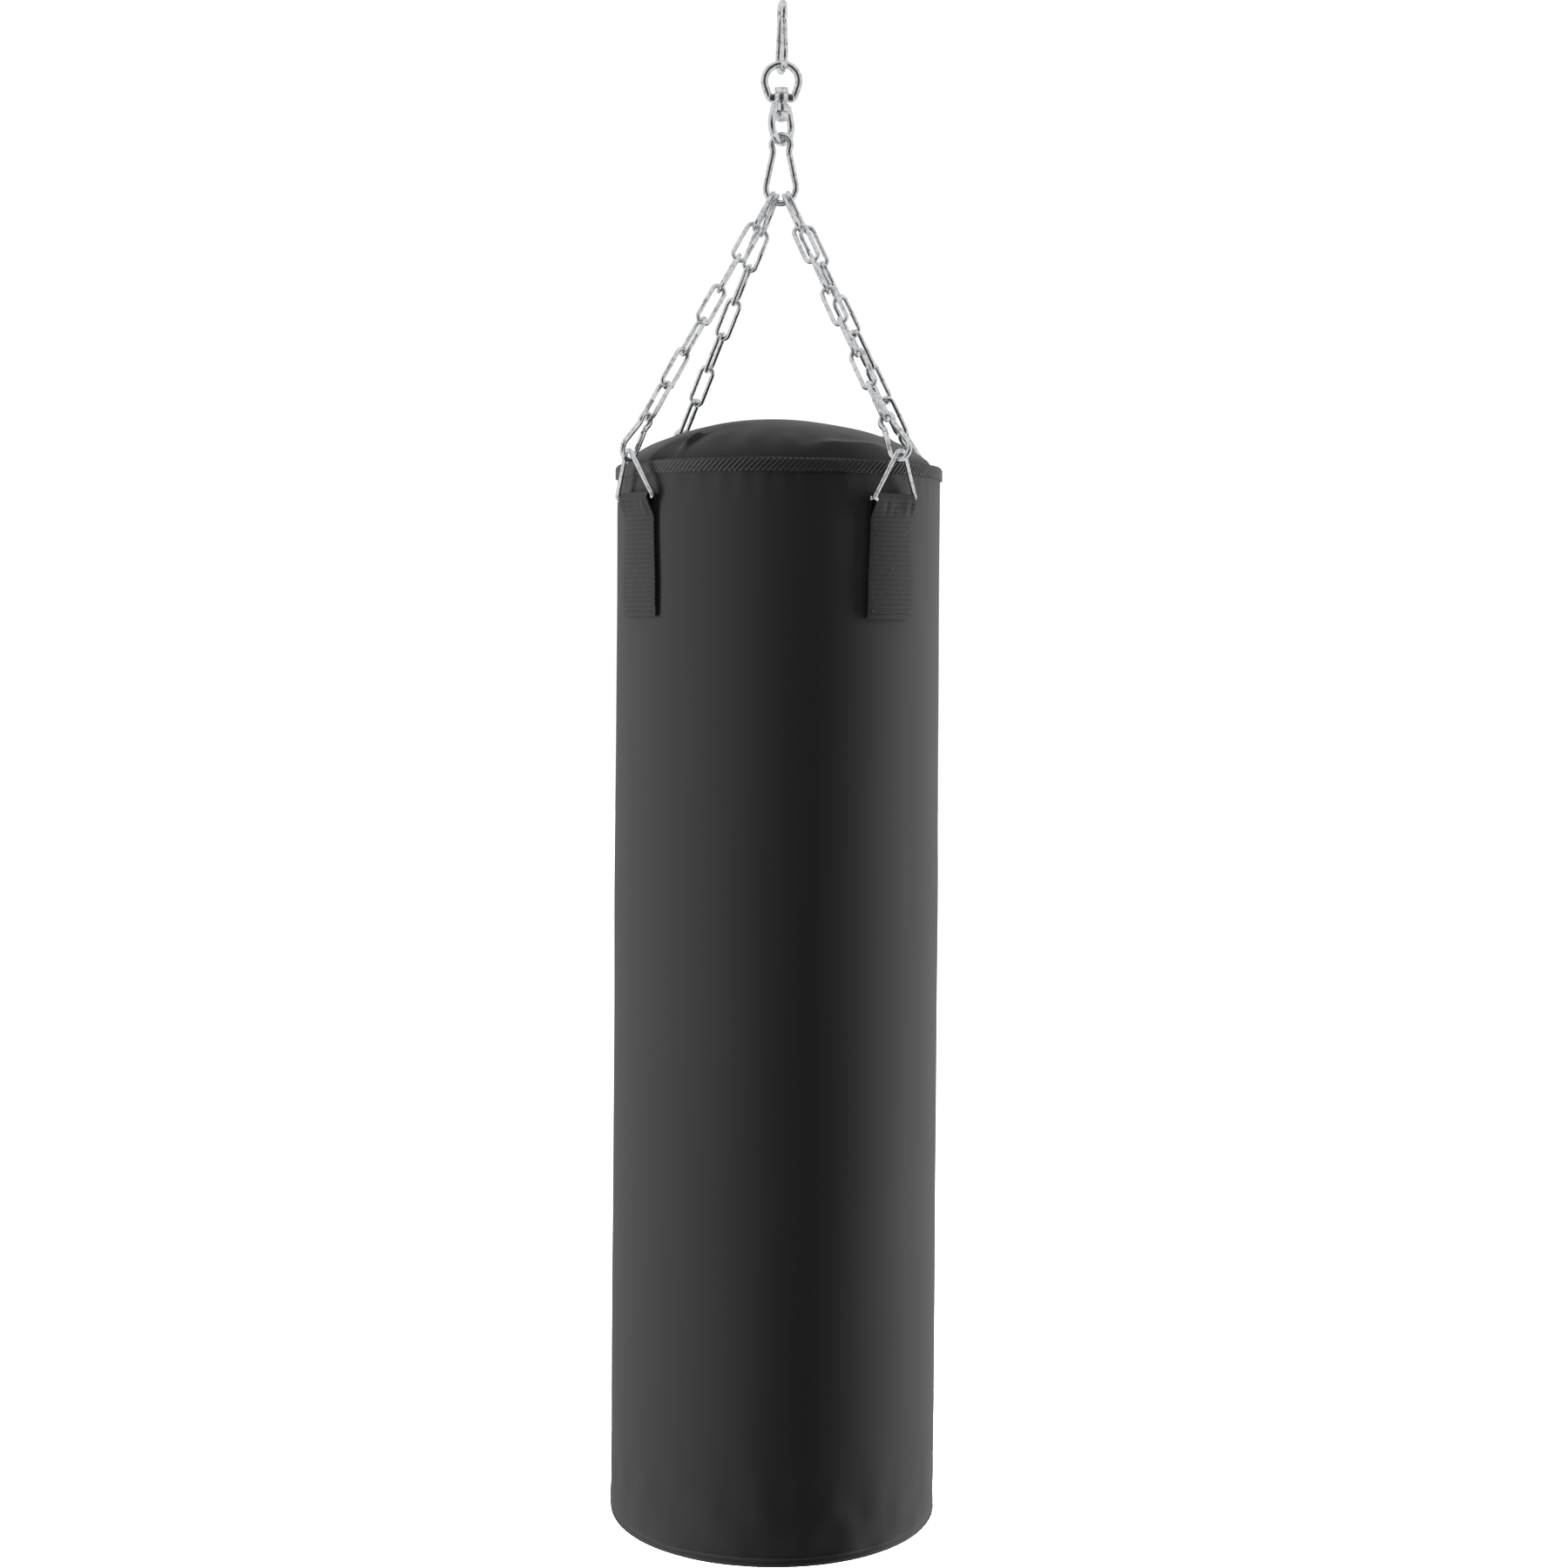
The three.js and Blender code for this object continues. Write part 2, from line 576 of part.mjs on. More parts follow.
// ---------------------------------------------------------------- the whole

const bag = new THREE.Group();

const topHook = new THREE.Group();
topHook.position.z = TOP_BAR;
topHook.rotation.z = TOP_HOOK_TURN;
bag.add(topHook);
addHook(topHook, 'top_hook', BIG_HOOK);

addSwivel(bag);

const lowerHook = new THREE.Group();
lowerHook.position.z = LOWER_BAR;
lowerHook.rotation.z = LOWER_HOOK_TURN;
bag.add(lowerHook);
addHook(lowerHook, 'lower_hook', BIG_HOOK);

const lines = LEGS.map(legLine);
LEGS.forEach((leg, i) => {
  // The two legs of a side share the plane of their first links, so those lie side by side
  const [front, back] = i < 2 ? [lines[0], lines[1]] : [lines[3], lines[2]];
  const flatNormal = new THREE.Vector3().crossVectors(front.down, back.down).normalize();
  addLeg(bag, leg, lines[i], flatNormal);
  addTriangleAndStrap(bag, leg.name, lines[i]);
});

addBag(bag);

export default bag;
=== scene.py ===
"""A filled canvas punching bag hanging from its chain rig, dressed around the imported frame.

Metres, +Z up, -Y to the front. Each sub-assembly is a class that holds its sizes, builds its
meshes where the frame says, and dresses them in a finish named for the real material.
"""

import json
import logging
import math
from dataclasses import dataclass
from enum import Enum

import bmesh
import bpy
from mathutils import Matrix, Vector, noise

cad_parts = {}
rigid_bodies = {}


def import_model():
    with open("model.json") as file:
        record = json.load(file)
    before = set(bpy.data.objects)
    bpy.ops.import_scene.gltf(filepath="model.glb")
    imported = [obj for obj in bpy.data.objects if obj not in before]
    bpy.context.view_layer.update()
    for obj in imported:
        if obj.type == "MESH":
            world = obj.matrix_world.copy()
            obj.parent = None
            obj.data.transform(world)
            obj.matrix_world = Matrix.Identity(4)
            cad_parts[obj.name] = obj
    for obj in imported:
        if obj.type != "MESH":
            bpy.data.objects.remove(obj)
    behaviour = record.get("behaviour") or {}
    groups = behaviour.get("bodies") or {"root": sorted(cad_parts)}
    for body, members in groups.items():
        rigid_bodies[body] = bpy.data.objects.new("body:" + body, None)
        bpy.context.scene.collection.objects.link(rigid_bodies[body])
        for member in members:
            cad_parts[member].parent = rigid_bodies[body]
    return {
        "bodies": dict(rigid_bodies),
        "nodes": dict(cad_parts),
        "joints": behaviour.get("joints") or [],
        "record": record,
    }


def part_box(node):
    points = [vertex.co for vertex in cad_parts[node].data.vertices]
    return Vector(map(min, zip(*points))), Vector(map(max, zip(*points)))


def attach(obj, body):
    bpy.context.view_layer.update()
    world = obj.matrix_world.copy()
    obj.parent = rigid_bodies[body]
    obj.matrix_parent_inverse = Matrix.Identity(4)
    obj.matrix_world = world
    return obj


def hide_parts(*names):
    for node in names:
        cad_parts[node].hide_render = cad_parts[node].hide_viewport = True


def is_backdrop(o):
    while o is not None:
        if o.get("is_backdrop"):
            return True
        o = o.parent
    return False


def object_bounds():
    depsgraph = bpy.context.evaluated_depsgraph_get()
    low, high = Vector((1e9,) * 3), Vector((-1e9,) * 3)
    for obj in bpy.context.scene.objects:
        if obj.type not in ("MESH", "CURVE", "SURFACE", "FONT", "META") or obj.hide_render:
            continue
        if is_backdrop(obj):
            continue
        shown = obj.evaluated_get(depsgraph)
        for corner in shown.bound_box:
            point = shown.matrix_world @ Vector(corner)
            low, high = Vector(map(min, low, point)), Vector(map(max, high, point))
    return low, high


LOG = logging.getLogger("punching_bag")
MM = 0.001
BAG_BODY = "bag"
SECTOR_STEPS = 24  # a round body is spun in sectors of this many steps, which are then joined


# ---------------------------------------------------------------- meshes


def edges_of(geometry: list) -> list:
    """The edges in a list of mesh elements."""
    return [part for part in geometry if isinstance(part, bmesh.types.BMEdge)]


def verts_of(geometry: list) -> list:
    """The vertices in a list of mesh elements."""
    return [part for part in geometry if isinstance(part, bmesh.types.BMVert)]


def soften(bm: bmesh.types.BMesh, edges: list, offset: float, segments: int = 2) -> None:
    """Rounds edges over.

    Args:
        bm: the mesh.
        edges: the edges to round.
        offset: how far the rounding reaches, in metres.
        segments: how many faces make the rounding.
    """
    bmesh.ops.bevel(
        bm,
        geom=edges,
        offset=offset,
        segments=segments,
        profile=0.5,
        affect="EDGES",
        material=-1,
    )


def mesh_from(bm: bmesh.types.BMesh, name: str, sharp_deg: float = 40.0) -> bpy.types.Mesh:
    """Turns a bmesh into a smooth-shaded mesh and frees it.

    Args:
        bm: the finished bmesh.
        name: the mesh's name.
        sharp_deg: edges that turn more than this stay sharp.

    Returns:
        The mesh.
    """
    mesh = bpy.data.meshes.new(name)
    bm.to_mesh(mesh)
    bm.free()
    mesh.shade_smooth()
    mesh.set_sharp_from_angle(angle=math.radians(sharp_deg))
    return mesh


def merge(whole: bmesh.types.BMesh, other: bmesh.types.BMesh) -> None:
    """Adds another bmesh's faces to a bmesh, and frees the other."""
    helper = mesh_from(other, "merge_helper")
    whole.from_mesh(helper)
    bpy.data.meshes.remove(helper)


def push_out(vert: bmesh.types.BMVert, step: float) -> None:
    """Moves a vertex away from the Z axis by a step."""
    reach = math.hypot(vert.co.x, vert.co.y)
    vert.co.x *= (reach + step) / reach
    vert.co.y *= (reach + step) / reach


def bearing_of(place: Vector) -> float:
    """The angle of a place round Z: 0 at the front, positive towards +X."""
    return math.atan2(place.x, -place.y)


def outward_at(angle: float) -> Vector:
    """The level unit vector at a bearing."""
    return Vector((math.sin(angle), -math.cos(angle), 0))


def new_object(mesh: bpy.types.Mesh, name: str) -> bpy.types.Object:
    """Links a mesh to the scene as an object at the origin."""
    piece = bpy.data.objects.new(name, mesh)
    bpy.context.scene.collection.objects.link(piece)
    return piece


def combined(
    base: bmesh.types.BMesh, others: list, operation: str, name: str
) -> bpy.types.Mesh:
    """Joins solids to a solid, or cuts them from it.

    Args:
        base: the solid that is kept.
        others: the solids that are joined or cut, one bmesh each.
        operation: "UNION" or "DIFFERENCE".
        name: the new mesh's name.

    Returns:
        The mesh of the one solid that is left.
    """
    body = new_object(mesh_from(base, name), name)
    helpers = []
    for other in others:
        helper = new_object(mesh_from(other, f"{name}_helper"), f"{name}_helper")
        cut = body.modifiers.new("combine", "BOOLEAN")
        cut.operation = operation
        cut.solver = "EXACT"
        cut.object = helper
        helpers.append(helper)
    bpy.context.view_layer.update()
    graph = bpy.context.evaluated_depsgraph_get()
    mesh = bpy.data.meshes.new_from_object(body.evaluated_get(graph))
    mesh.name = name
    for leftover in [body, *helpers]:
        bpy.data.objects.remove(leftover)
    mesh.shade_smooth()
    mesh.set_sharp_from_angle(angle=math.radians(35))
    return mesh


def block(low: tuple, high: tuple, rounding: float = 0.0) -> bmesh.types.BMesh:
    """A box between two corners, with its edges rounded.

    Args:
        low: its lowest corner.
        high: its highest corner.
        rounding: how far its edges are rounded, in metres.

    Returns:
        The box as a bmesh.
    """
    bm = bmesh.new()
    low_corner, high_corner = Vector(low), Vector(high)
    size = Matrix.Diagonal((*(high_corner - low_corner), 1))
    place = Matrix.Translation((low_corner + high_corner) / 2) @ size
    bmesh.ops.create_cube(bm, size=1, matrix=place)
    if rounding:
        soften(bm, bm.edges[:], rounding, 3)
    return bm


def rod(
    radius: float, low: float, high: float, sides: int, rounding: float, axis: str = "Z"
) -> bmesh.types.BMesh:
    """A round or many-sided bar along an axis through the origin.

    Args:
        radius: the bar's radius.
        low: where it starts on its axis.
        high: where it ends.
        sides: how many sides it has.
        rounding: how far the edges of its two ends are rounded.
        axis: "Z" or "Y".

    Returns:
        The bar as a bmesh.
    """
    bm = bmesh.new()
    place = Matrix.Translation((0, 0, (low + high) / 2))
    bmesh.ops.create_cone(
        bm,
        cap_ends=True,
        segments=sides,
        radius1=radius,
        radius2=radius,
        depth=high - low,
        matrix=place,
    )
    if rounding:
        ends = [edge for edge in bm.edges if abs(edge.verts[0].co.z - edge.verts[1].co.z) < 1e-7]
        soften(bm, ends, rounding, 3)
    if axis == "Y":
        turn = Matrix.Rotation(math.pi / 2, 3, "X")
        bmesh.ops.rotate(bm, verts=bm.verts[:], cent=(0, 0, 0), matrix=turn)
    return bm


def repeated(bm: bmesh.types.BMesh, places: list) -> bmesh.types.BMesh:
    """Copies of one shape in many places, gathered into one bmesh.

    Args:
        bm: the shape; it is freed.
        places: the matrix of each copy.

    Returns:
        The copies as a bmesh.
    """
    one = bpy.data.meshes.new("one")
    bm.to_mesh(one)
    bm.free()
    whole = bmesh.new()
    for place in places:
        copy = one.copy()
        copy.transform(place)
        whole.from_mesh(copy)
        bpy.data.meshes.remove(copy)
    bpy.data.meshes.remove(one)
    return whole


def spun(outline: list, cuts: list, steps: int) -> bmesh.types.BMesh:
    """A body turned about Z from a closed outline.

    Args:
        outline: its corners as (radius, height); a radius of 0 is on the axis.
        cuts: for each side of the outline, from its corner to the next, how often it is cut.
        steps: how many steps make the full turn, a multiple of SECTOR_STEPS.

    Returns:
        The closed body as a bmesh, its faces pointing out.
    """
    bm = bmesh.new()
    corners = [bm.verts.new((radius, 0, height)) for radius, height in outline]
    on_axis = outline[0][0] == 0 and outline[-1][0] == 0
    pairs = list(zip(corners, corners[1:] + corners[:1]))
    if on_axis:
        pairs.pop()
    sides = [bm.edges.new(pair) for pair in pairs]
    for side, count in zip(sides, cuts):
        if count:
            bmesh.ops.subdivide_edges(bm, edges=[side], cuts=count)
    sectors = steps // SECTOR_STEPS
    bmesh.ops.spin(
        bm,
        geom=bm.verts[:] + bm.edges[:],
        cent=(0, 0, 0),
        axis=(0, 0, 1),
        angle=2 * math.pi / sectors,
        steps=SECTOR_STEPS,
        use_merge=False,
        use_duplicate=False,
    )
    turns = [Matrix.Rotation(2 * math.pi * part / sectors, 4, "Z") for part in range(sectors)]
    whole = repeated(bm, turns)
    bmesh.ops.remove_doubles(whole, verts=whole.verts[:], dist=2e-6)
    bmesh.ops.recalc_face_normals(whole, faces=whole.faces[:])
    return whole


def wrap_uv(bm: bmesh.types.BMesh, radius: float) -> None:
    """Lays a round wall flat: metres round it, from the front, and metres up it.

    Args:
        bm: the mesh; it gets a UV map.
        radius: the wall's radius, which turns an angle into a distance.
    """
    layer = bm.loops.layers.uv.verify()
    for face in bm.faces:
        middle = face.calc_center_median()
        centre = bearing_of(middle)
        for loop in face.loops:
            angle = bearing_of(loop.vert.co)
            angle += 2 * math.pi * round((centre - angle) / (2 * math.pi))
            loop[layer].uv = (angle * radius, loop.vert.co.z)


def plan_uv(bm: bmesh.types.BMesh) -> None:
    """Lays a flat or domed cloth in plan, in metres."""
    layer = bm.loops.layers.uv.verify()
    for face in bm.faces:
        for loop in face.loops:
            loop[layer].uv = (loop.vert.co.x, loop.vert.co.y)


def smooth_step(value: float, start: float, end: float) -> float:
    """0 before start, 1 after end, and a smooth rise between."""
    share = min(1.0, max(0.0, (value - start) / (end - start)))
    return share * share * (3 - 2 * share)


def hill(value: float, centre: float, width: float) -> float:
    """A round bump: 1 at its centre and almost 0 two widths away."""
    return math.exp(-(((value - centre) / width) ** 2))


class WireRun:
    """A bent wire in the XZ plane, grown section by section with extrude and spin."""

    def __init__(self, radius: float, sides: int, start: Vector, heading: Vector) -> None:
        """Starts the wire.

        Args:
            radius: the wire's radius.
            sides: how many sides its section has.
            start: the middle of its first section.
            heading: the way it sets out.
        """
        self.bm = bmesh.new()
        self.along = self.bm.verts.layers.float.new("along")
        self.place = start.copy()
        self.heading = heading.normalized()
        self.length = 0.0
        facing = self.heading.to_track_quat("Z", "Y").to_matrix().to_4x4()
        bmesh.ops.create_circle(
            self.bm,
            segments=sides,
            radius=radius,
            matrix=Matrix.Translation(start) @ facing,
        )
        self.ring = self.bm.edges[:]
        self.first = self.ring

    def _took(self, geometry: list, distance: float) -> list:
        """Makes the newest section the ring that grows next, and marks its distance."""
        old = {vert for edge in self.ring for vert in edge.verts}
        fresh = [vert for vert in verts_of(geometry) if vert not in old]
        self.length += distance
        for vert in fresh:
            vert[self.along] = self.length
        known = set(fresh)
        self.ring = [
            edge
            for edge in edges_of(geometry)
            if edge.verts[0] in known and edge.verts[1] in known
        ]
        return fresh

    def straight(self, length: float) -> list:
        """Runs straight on.

        Args:
            length: how far.

        Returns:
            The vertices of the new section.
        """
        if length < 1e-6:
            return []
        grown = bmesh.ops.extrude_edge_only(self.bm, edges=self.ring)["geom"]
        fresh = self._took(grown, length)
        step = self.heading * length
        bmesh.ops.translate(self.bm, verts=fresh, vec=step)
        self.place += step
        return fresh

    def bend(self, centre: Vector, turn: float, steps: int) -> None:
        """Bends round a centre, towards +Z from +X for a positive turn.

        Args:
            centre: the centre of the bend.
            turn: the angle that the wire turns, in radians.
            steps: how many sections make the bend.
        """
        part = -turn / steps
        rotation = Matrix.Rotation(part, 3, "Y")
        radius = (self.place - centre).length
        for _ in range(steps):
            rim = list({vert for edge in self.ring for vert in edge.verts})
            grown = bmesh.ops.spin(
                self.bm,
                geom=rim + self.ring,
                cent=centre,
                axis=(0, 1, 0),
                angle=part,
                steps=1,
                use_merge=False,
                use_duplicate=False,
            )["geom_last"]
            self._took(grown, abs(part) * radius)
            self.place = centre + rotation @ (self.place - centre)
            self.heading = rotation @ self.heading

    def neck(self, lengths: list, factors: list, space: Vector) -> None:
        """Runs straight on while its section changes.

        Args:
            lengths: the length of each stretch.
            factors: the size of the section at each stretch's end, 1 for the wire's own.
            space: 1 along the axes that change, 0 along those that don't.
        """
        last = 1.0
        for length, factor in zip(lengths, factors):
            fresh = self.straight(length)
            change = factor / last
            vector = [1 + (change - 1) * amount for amount in space]
            away = Matrix.Translation(-self.place)
            bmesh.ops.scale(self.bm, vec=vector, space=away, verts=fresh)
            last = factor

    def follow(self, corners: list, step_deg: float, weld: int = -1) -> None:
        """Runs through corners (x, z, radius), rounding each to its radius.

        Args:
            corners: the corners after the start; the last is where the wire ends.
            step_deg: the angle of one section of a bend.
            weld: the number of the straight that carries a weld bead, or -1.
        """
        for index, corner in enumerate(corners):
            target = Vector((corner[0], 0, corner[1]))
            if index == len(corners) - 1:
                self.straight((target - self.place).length)
                return
            after = corners[index + 1]
            leaving = (Vector((after[0], 0, after[1])) - target).normalized()
            cross = self.heading.x * leaving.z - self.heading.z * leaving.x
            turn = math.atan2(cross, self.heading.dot(leaving))
            radius = corner[2]
            start = target - self.heading * radius * math.tan(abs(turn) / 2)
            reach = (start - self.place).length
            if index == weld:
                self.weld_bead(reach)
            else:
                self.straight(reach)
            side = math.copysign(1, turn)
            across = Vector((-self.heading.z, 0, self.heading.x))
            centre = self.place + across * radius * side
            steps = max(2, math.ceil(abs(math.degrees(turn)) / step_deg))
            self.bend(centre, turn, steps)

    def weld_bead(self, length: float) -> None:
        """A straight with the low bead that butt welding leaves at its middle."""
        flat = Vector((1, 1, 1))
        bead = min(2.6 * MM, length / 3)
        lead = (length - bead) / 2
        shares = [lead, bead * 0.25, bead * 0.25, bead * 0.25, bead * 0.25, lead]
        self.neck(shares, [1.0, 1.11, 1.15, 1.11, 1.0, 1.0], flat)

    def closed(self) -> bmesh.types.BMesh:
        """Joins the last section to the first and returns the ring."""
        bmesh.ops.remove_doubles(self.bm, verts=self.bm.verts[:], dist=2e-6)
        bmesh.ops.recalc_face_normals(self.bm, faces=self.bm.faces[:])
        return self.bm

    def capped(self, rounding: float) -> bmesh.types.BMesh:
        """Closes both ends, rounds their edges and returns the wire."""
        bmesh.ops.holes_fill(self.bm, edges=self.first + self.ring, sides=0)
        soften(self.bm, self.first + self.ring, rounding, 3)
        bmesh.ops.recalc_face_normals(self.bm, faces=self.bm.faces[:])
        return self.bm


def placed(mesh: bpy.types.Mesh, name: str, frame: Matrix) -> bpy.types.Object:
    """A copy of a mesh put in its place.

    Args:
        mesh: the mesh in its own frame.
        name: the new object's name.
        frame: the place, as a matrix.

    Returns:
        The object, at the origin, with its place in its mesh.
    """
    copy = mesh.copy()
    copy.name = name
    copy.transform(frame)
    return new_object(copy, name)


def axes(origin: Vector, x_axis: Vector, z_axis: Vector) -> Matrix:
    """The frame with this origin, X axis and Z axis."""
    frame = Matrix((x_axis, z_axis.cross(x_axis), z_axis)).transposed().to_4x4()
    frame.translation = origin
    return frame


# ---------------------------------------------------------------- finishes


def linear(hex_colour: str) -> tuple:
    """A colour such as "#c9cbcd" as linear red, green, blue and alpha."""
    shares = [int(hex_colour[i : i + 2], 16) / 255 for i in (1, 3, 5)]
    bright = [c / 12.92 if c <= 0.04045 else ((c + 0.055) / 1.055) ** 2.4 for c in shares]
    return (*bright, 1.0)


def add_node(
    tree: bpy.types.NodeTree, kind: str, settings: dict | None = None, inputs: dict | None = None
) -> bpy.types.Node:
    """Adds a node with its settings and links.

    Args:
        tree: the node tree.
        kind: the node's type, without its "ShaderNode".
        settings: its properties.
        inputs: its inputs by name or number, each a value or another node's output.

    Returns:
        The node.
    """
    node = tree.nodes.new(f"ShaderNode{kind}")
    for key, value in (settings or {}).items():
        setattr(node, key, value)
    for key, value in (inputs or {}).items():
        if isinstance(value, bpy.types.NodeSocket):
            tree.links.new(value, node.inputs[key])
        else:
            node.inputs[key].default_value = value
    return node


def ramp(
    tree: bpy.types.NodeTree, factor: bpy.types.NodeSocket, low: float, high: float
) -> bpy.types.NodeSocket:
    """Stretches the part of a factor between low and high to 0 and 1, and gives the output."""
    inputs = {"Value": factor, "From Min": low, "From Max": high}
    return add_node(tree, "MapRange", {"clamp": True}, inputs).outputs["Result"]


def blend_colour(
    tree: bpy.types.NodeTree,
    factor: bpy.types.NodeSocket,
    first: str | bpy.types.NodeSocket,
    second: str | bpy.types.NodeSocket,
) -> bpy.types.NodeSocket:
    """Mixes two colours, each a hex value or another node's output."""
    given = [linear(c) if isinstance(c, str) else c for c in (first, second)]
    inputs = {0: factor, 6: given[0], 7: given[1]}
    return add_node(tree, "Mix", {"data_type": "RGBA"}, inputs).outputs[2]


def noise_fac(
    tree: bpy.types.NodeTree, place: bpy.types.NodeSocket, scale: float, detail: float
) -> bpy.types.NodeSocket:
    """A noise pattern's factor: scale in features per metre, detail in octaves."""
    inputs = {"Vector": place, "Scale": scale, "Detail": detail}
    return add_node(tree, "TexNoise", inputs=inputs).outputs["Fac"]


def relief_on(
    tree: bpy.types.NodeTree,
    shader: bpy.types.Node,
    height: bpy.types.NodeSocket,
    strength: float,
    depth: float,
) -> None:
    """Gives a shader a bump.

    Args:
        tree: the node tree.
        shader: the shader whose normal is bumped.
        height: the pattern, 0 to 1.
        strength: how strong the bump is.
        depth: the height of a full step, in metres.
    """
    inputs = {"Height": height, "Strength": strength, "Distance": depth}
    link(tree, add_node(tree, "Bump", inputs=inputs).outputs["Normal"], shader, "Normal")


def new_material(name: str) -> tuple:
    """An empty material, its node tree and its surface shader."""
    material = bpy.data.materials.new(name)
    material.use_nodes = True
    tree = material.node_tree
    return material, tree, tree.nodes["Principled BSDF"]


def link(
    tree: bpy.types.NodeTree, output: bpy.types.NodeSocket, node: bpy.types.Node, name: str
) -> None:
    """Links an output to a node's named input."""
    tree.links.new(output, node.inputs[name])


@dataclass(frozen=True)
class PlatedSteel:
    """Bright nickel or zinc plate over drawn steel wire.

    The eye sees a mirror that is a little milky, streaked along the drawing direction, with
    duller spots where handling and dipping left the plate thinner.
    """

    name: str = "bright_plated_steel"
    bright: str = "#e4e6e8"
    dull: str = "#a9acb0"
    polish: float = 0.08
    haze: float = 0.22
    spot_mm: float = 3.5
    grain_mm: float = 0.5

    def make(self) -> bpy.types.Material:
        """Builds the material."""
        material, tree, shader = new_material(self.name)
        place = add_node(tree, "TexCoord").outputs["Object"]
        spots = noise_fac(tree, place, 1 / (self.spot_mm * MM), 4.0)
        grain = noise_fac(tree, place, 1 / (self.grain_mm * MM), 2.0)
        thin = ramp(tree, spots, 0.48, 0.72)
        colour = blend_colour(tree, thin, self.bright, self.dull)
        link(tree, colour, shader, "Base Color")
        limits = {"Value": spots, "From Min": 0.35, "From Max": 0.75}
        limits |= {"To Min": self.polish, "To Max": self.haze}
        rough = add_node(tree, "MapRange", inputs=limits).outputs["Result"]
        link(tree, rough, shader, "Roughness")
        relief_on(tree, shader, grain, 0.08, 0.04 * MM)
        shader.inputs["Metallic"].default_value = 1.0
        return material


class Weave(Enum):
    """How a cloth's threads cross."""

    PLAIN = "plain"
    TWILL = "twill"


@dataclass(frozen=True)
class WovenCloth:
    """A dyed woven cloth, its pattern laid on the piece's own UV map in metres.

    The eye sees matt threads, paler where light grazes the fibres, slubs that run with the
    threads, and a few specks of lint. The colour is painted paler on the weave's crests as
    painted highlight and darker in its troughs as painted shade, scaled by the random slub tone.
    """

    name: str
    dark: str
    pale: str
    thread_mm: tuple
    weave: Weave
    relief_mm: float
    roughness: float = 0.85
    sheen: float = 0.25
    lint: str = "#8e8e8f"
    lint_share: float = 0.0
    slub_range: tuple = (0.21, 0.31)

    def _threads(
        self, tree: bpy.types.NodeTree, flat: bpy.types.NodeSocket
    ) -> bpy.types.NodeSocket:
        """The height of the weave, 0 to 1."""
        split = add_node(tree, "SeparateXYZ", inputs={0: flat}).outputs
        along, up = split["X"], split["Y"]
        if self.weave is Weave.TWILL:
            slant = {0: along, 1: up}
            along = up = add_node(tree, "Math", {"operation": "SUBTRACT"}, slant).outputs[0]
        waves = []
        for distance, pitch in zip((along, up), self.thread_mm):
            phase = {0: distance, 1: math.pi / (pitch * MM)}
            angle = add_node(tree, "Math", {"operation": "MULTIPLY"}, phase).outputs[0]
            waves.append(add_node(tree, "Math", {"operation": "SINE"}, {0: angle}).outputs[0])
        product = {0: waves[0], 1: waves[1]}
        crossed = add_node(tree, "Math", {"operation": "MULTIPLY"}, product).outputs[0]
        half = {0: crossed, 1: 0.5, 2: 0.5}
        return add_node(tree, "Math", {"operation": "MULTIPLY_ADD"}, half).outputs[0]

    @staticmethod
    def _slubs(
        tree: bpy.types.NodeTree, flat: bpy.types.NodeSocket, stretch: tuple
    ) -> bpy.types.NodeSocket:
        """Long soft streaks, stretched along the warp or the weft."""
        scale = {"Vector": flat, "Scale": stretch}
        narrowed = add_node(tree, "Mapping", inputs=scale).outputs["Vector"]
        return noise_fac(tree, narrowed, 1.0, 3.0)

    def make(self) -> bpy.types.Material:
        """Builds the material."""
        material, tree, shader = new_material(self.name)
        flat = add_node(tree, "UVMap", {"uv_map": "UVMap"}).outputs["UV"]
        threads = self._threads(tree, flat)
        warp = self._slubs(tree, flat, (260.0, 16.0, 1.0))
        weft = self._slubs(tree, flat, (30.0, 360.0, 1.0))
        both = {0: warp, 1: weft}
        slubs = add_node(tree, "Math", {"operation": "MULTIPLY"}, both).outputs[0]
        amount = ramp(tree, slubs, *self.slub_range)
        # Painted highlight and shade: the weave's crests are painted pale and its troughs dark, and
        # the random slub tone scales how strongly
        lit = {0: amount, 1: threads}
        slub_and_painted_weave_tone = add_node(tree, "Math", {"operation": "MULTIPLY"}, lit).outputs[0]
        colour = blend_colour(tree, slub_and_painted_weave_tone, self.dark, self.pale)
        if self.lint_share:
            speckle = noise_fac(tree, flat, 420.0, 1.0)
            specks = ramp(tree, speckle, 1 - self.lint_share, 1.02 - self.lint_share)
            colour = blend_colour(tree, specks, colour, self.lint)
        link(tree, colour, shader, "Base Color")
        relief = {"Height": threads, "Strength": 0.8, "Distance": self.relief_mm * MM}
        woven = add_node(tree, "Bump", inputs=relief).outputs["Normal"]
        nap = {"Height": slubs, "Strength": 0.35, "Distance": 0.4 * MM, "Normal": woven}
        link(tree, add_node(tree, "Bump", inputs=nap).outputs["Normal"], shader, "Normal")
        shader.inputs["Roughness"].default_value = self.roughness
        shader.inputs["Sheen Weight"].default_value = self.sheen
        shader.inputs["Sheen Roughness"].default_value = 0.45
        shader.inputs["Specular IOR Level"].default_value = 0.15
        return material


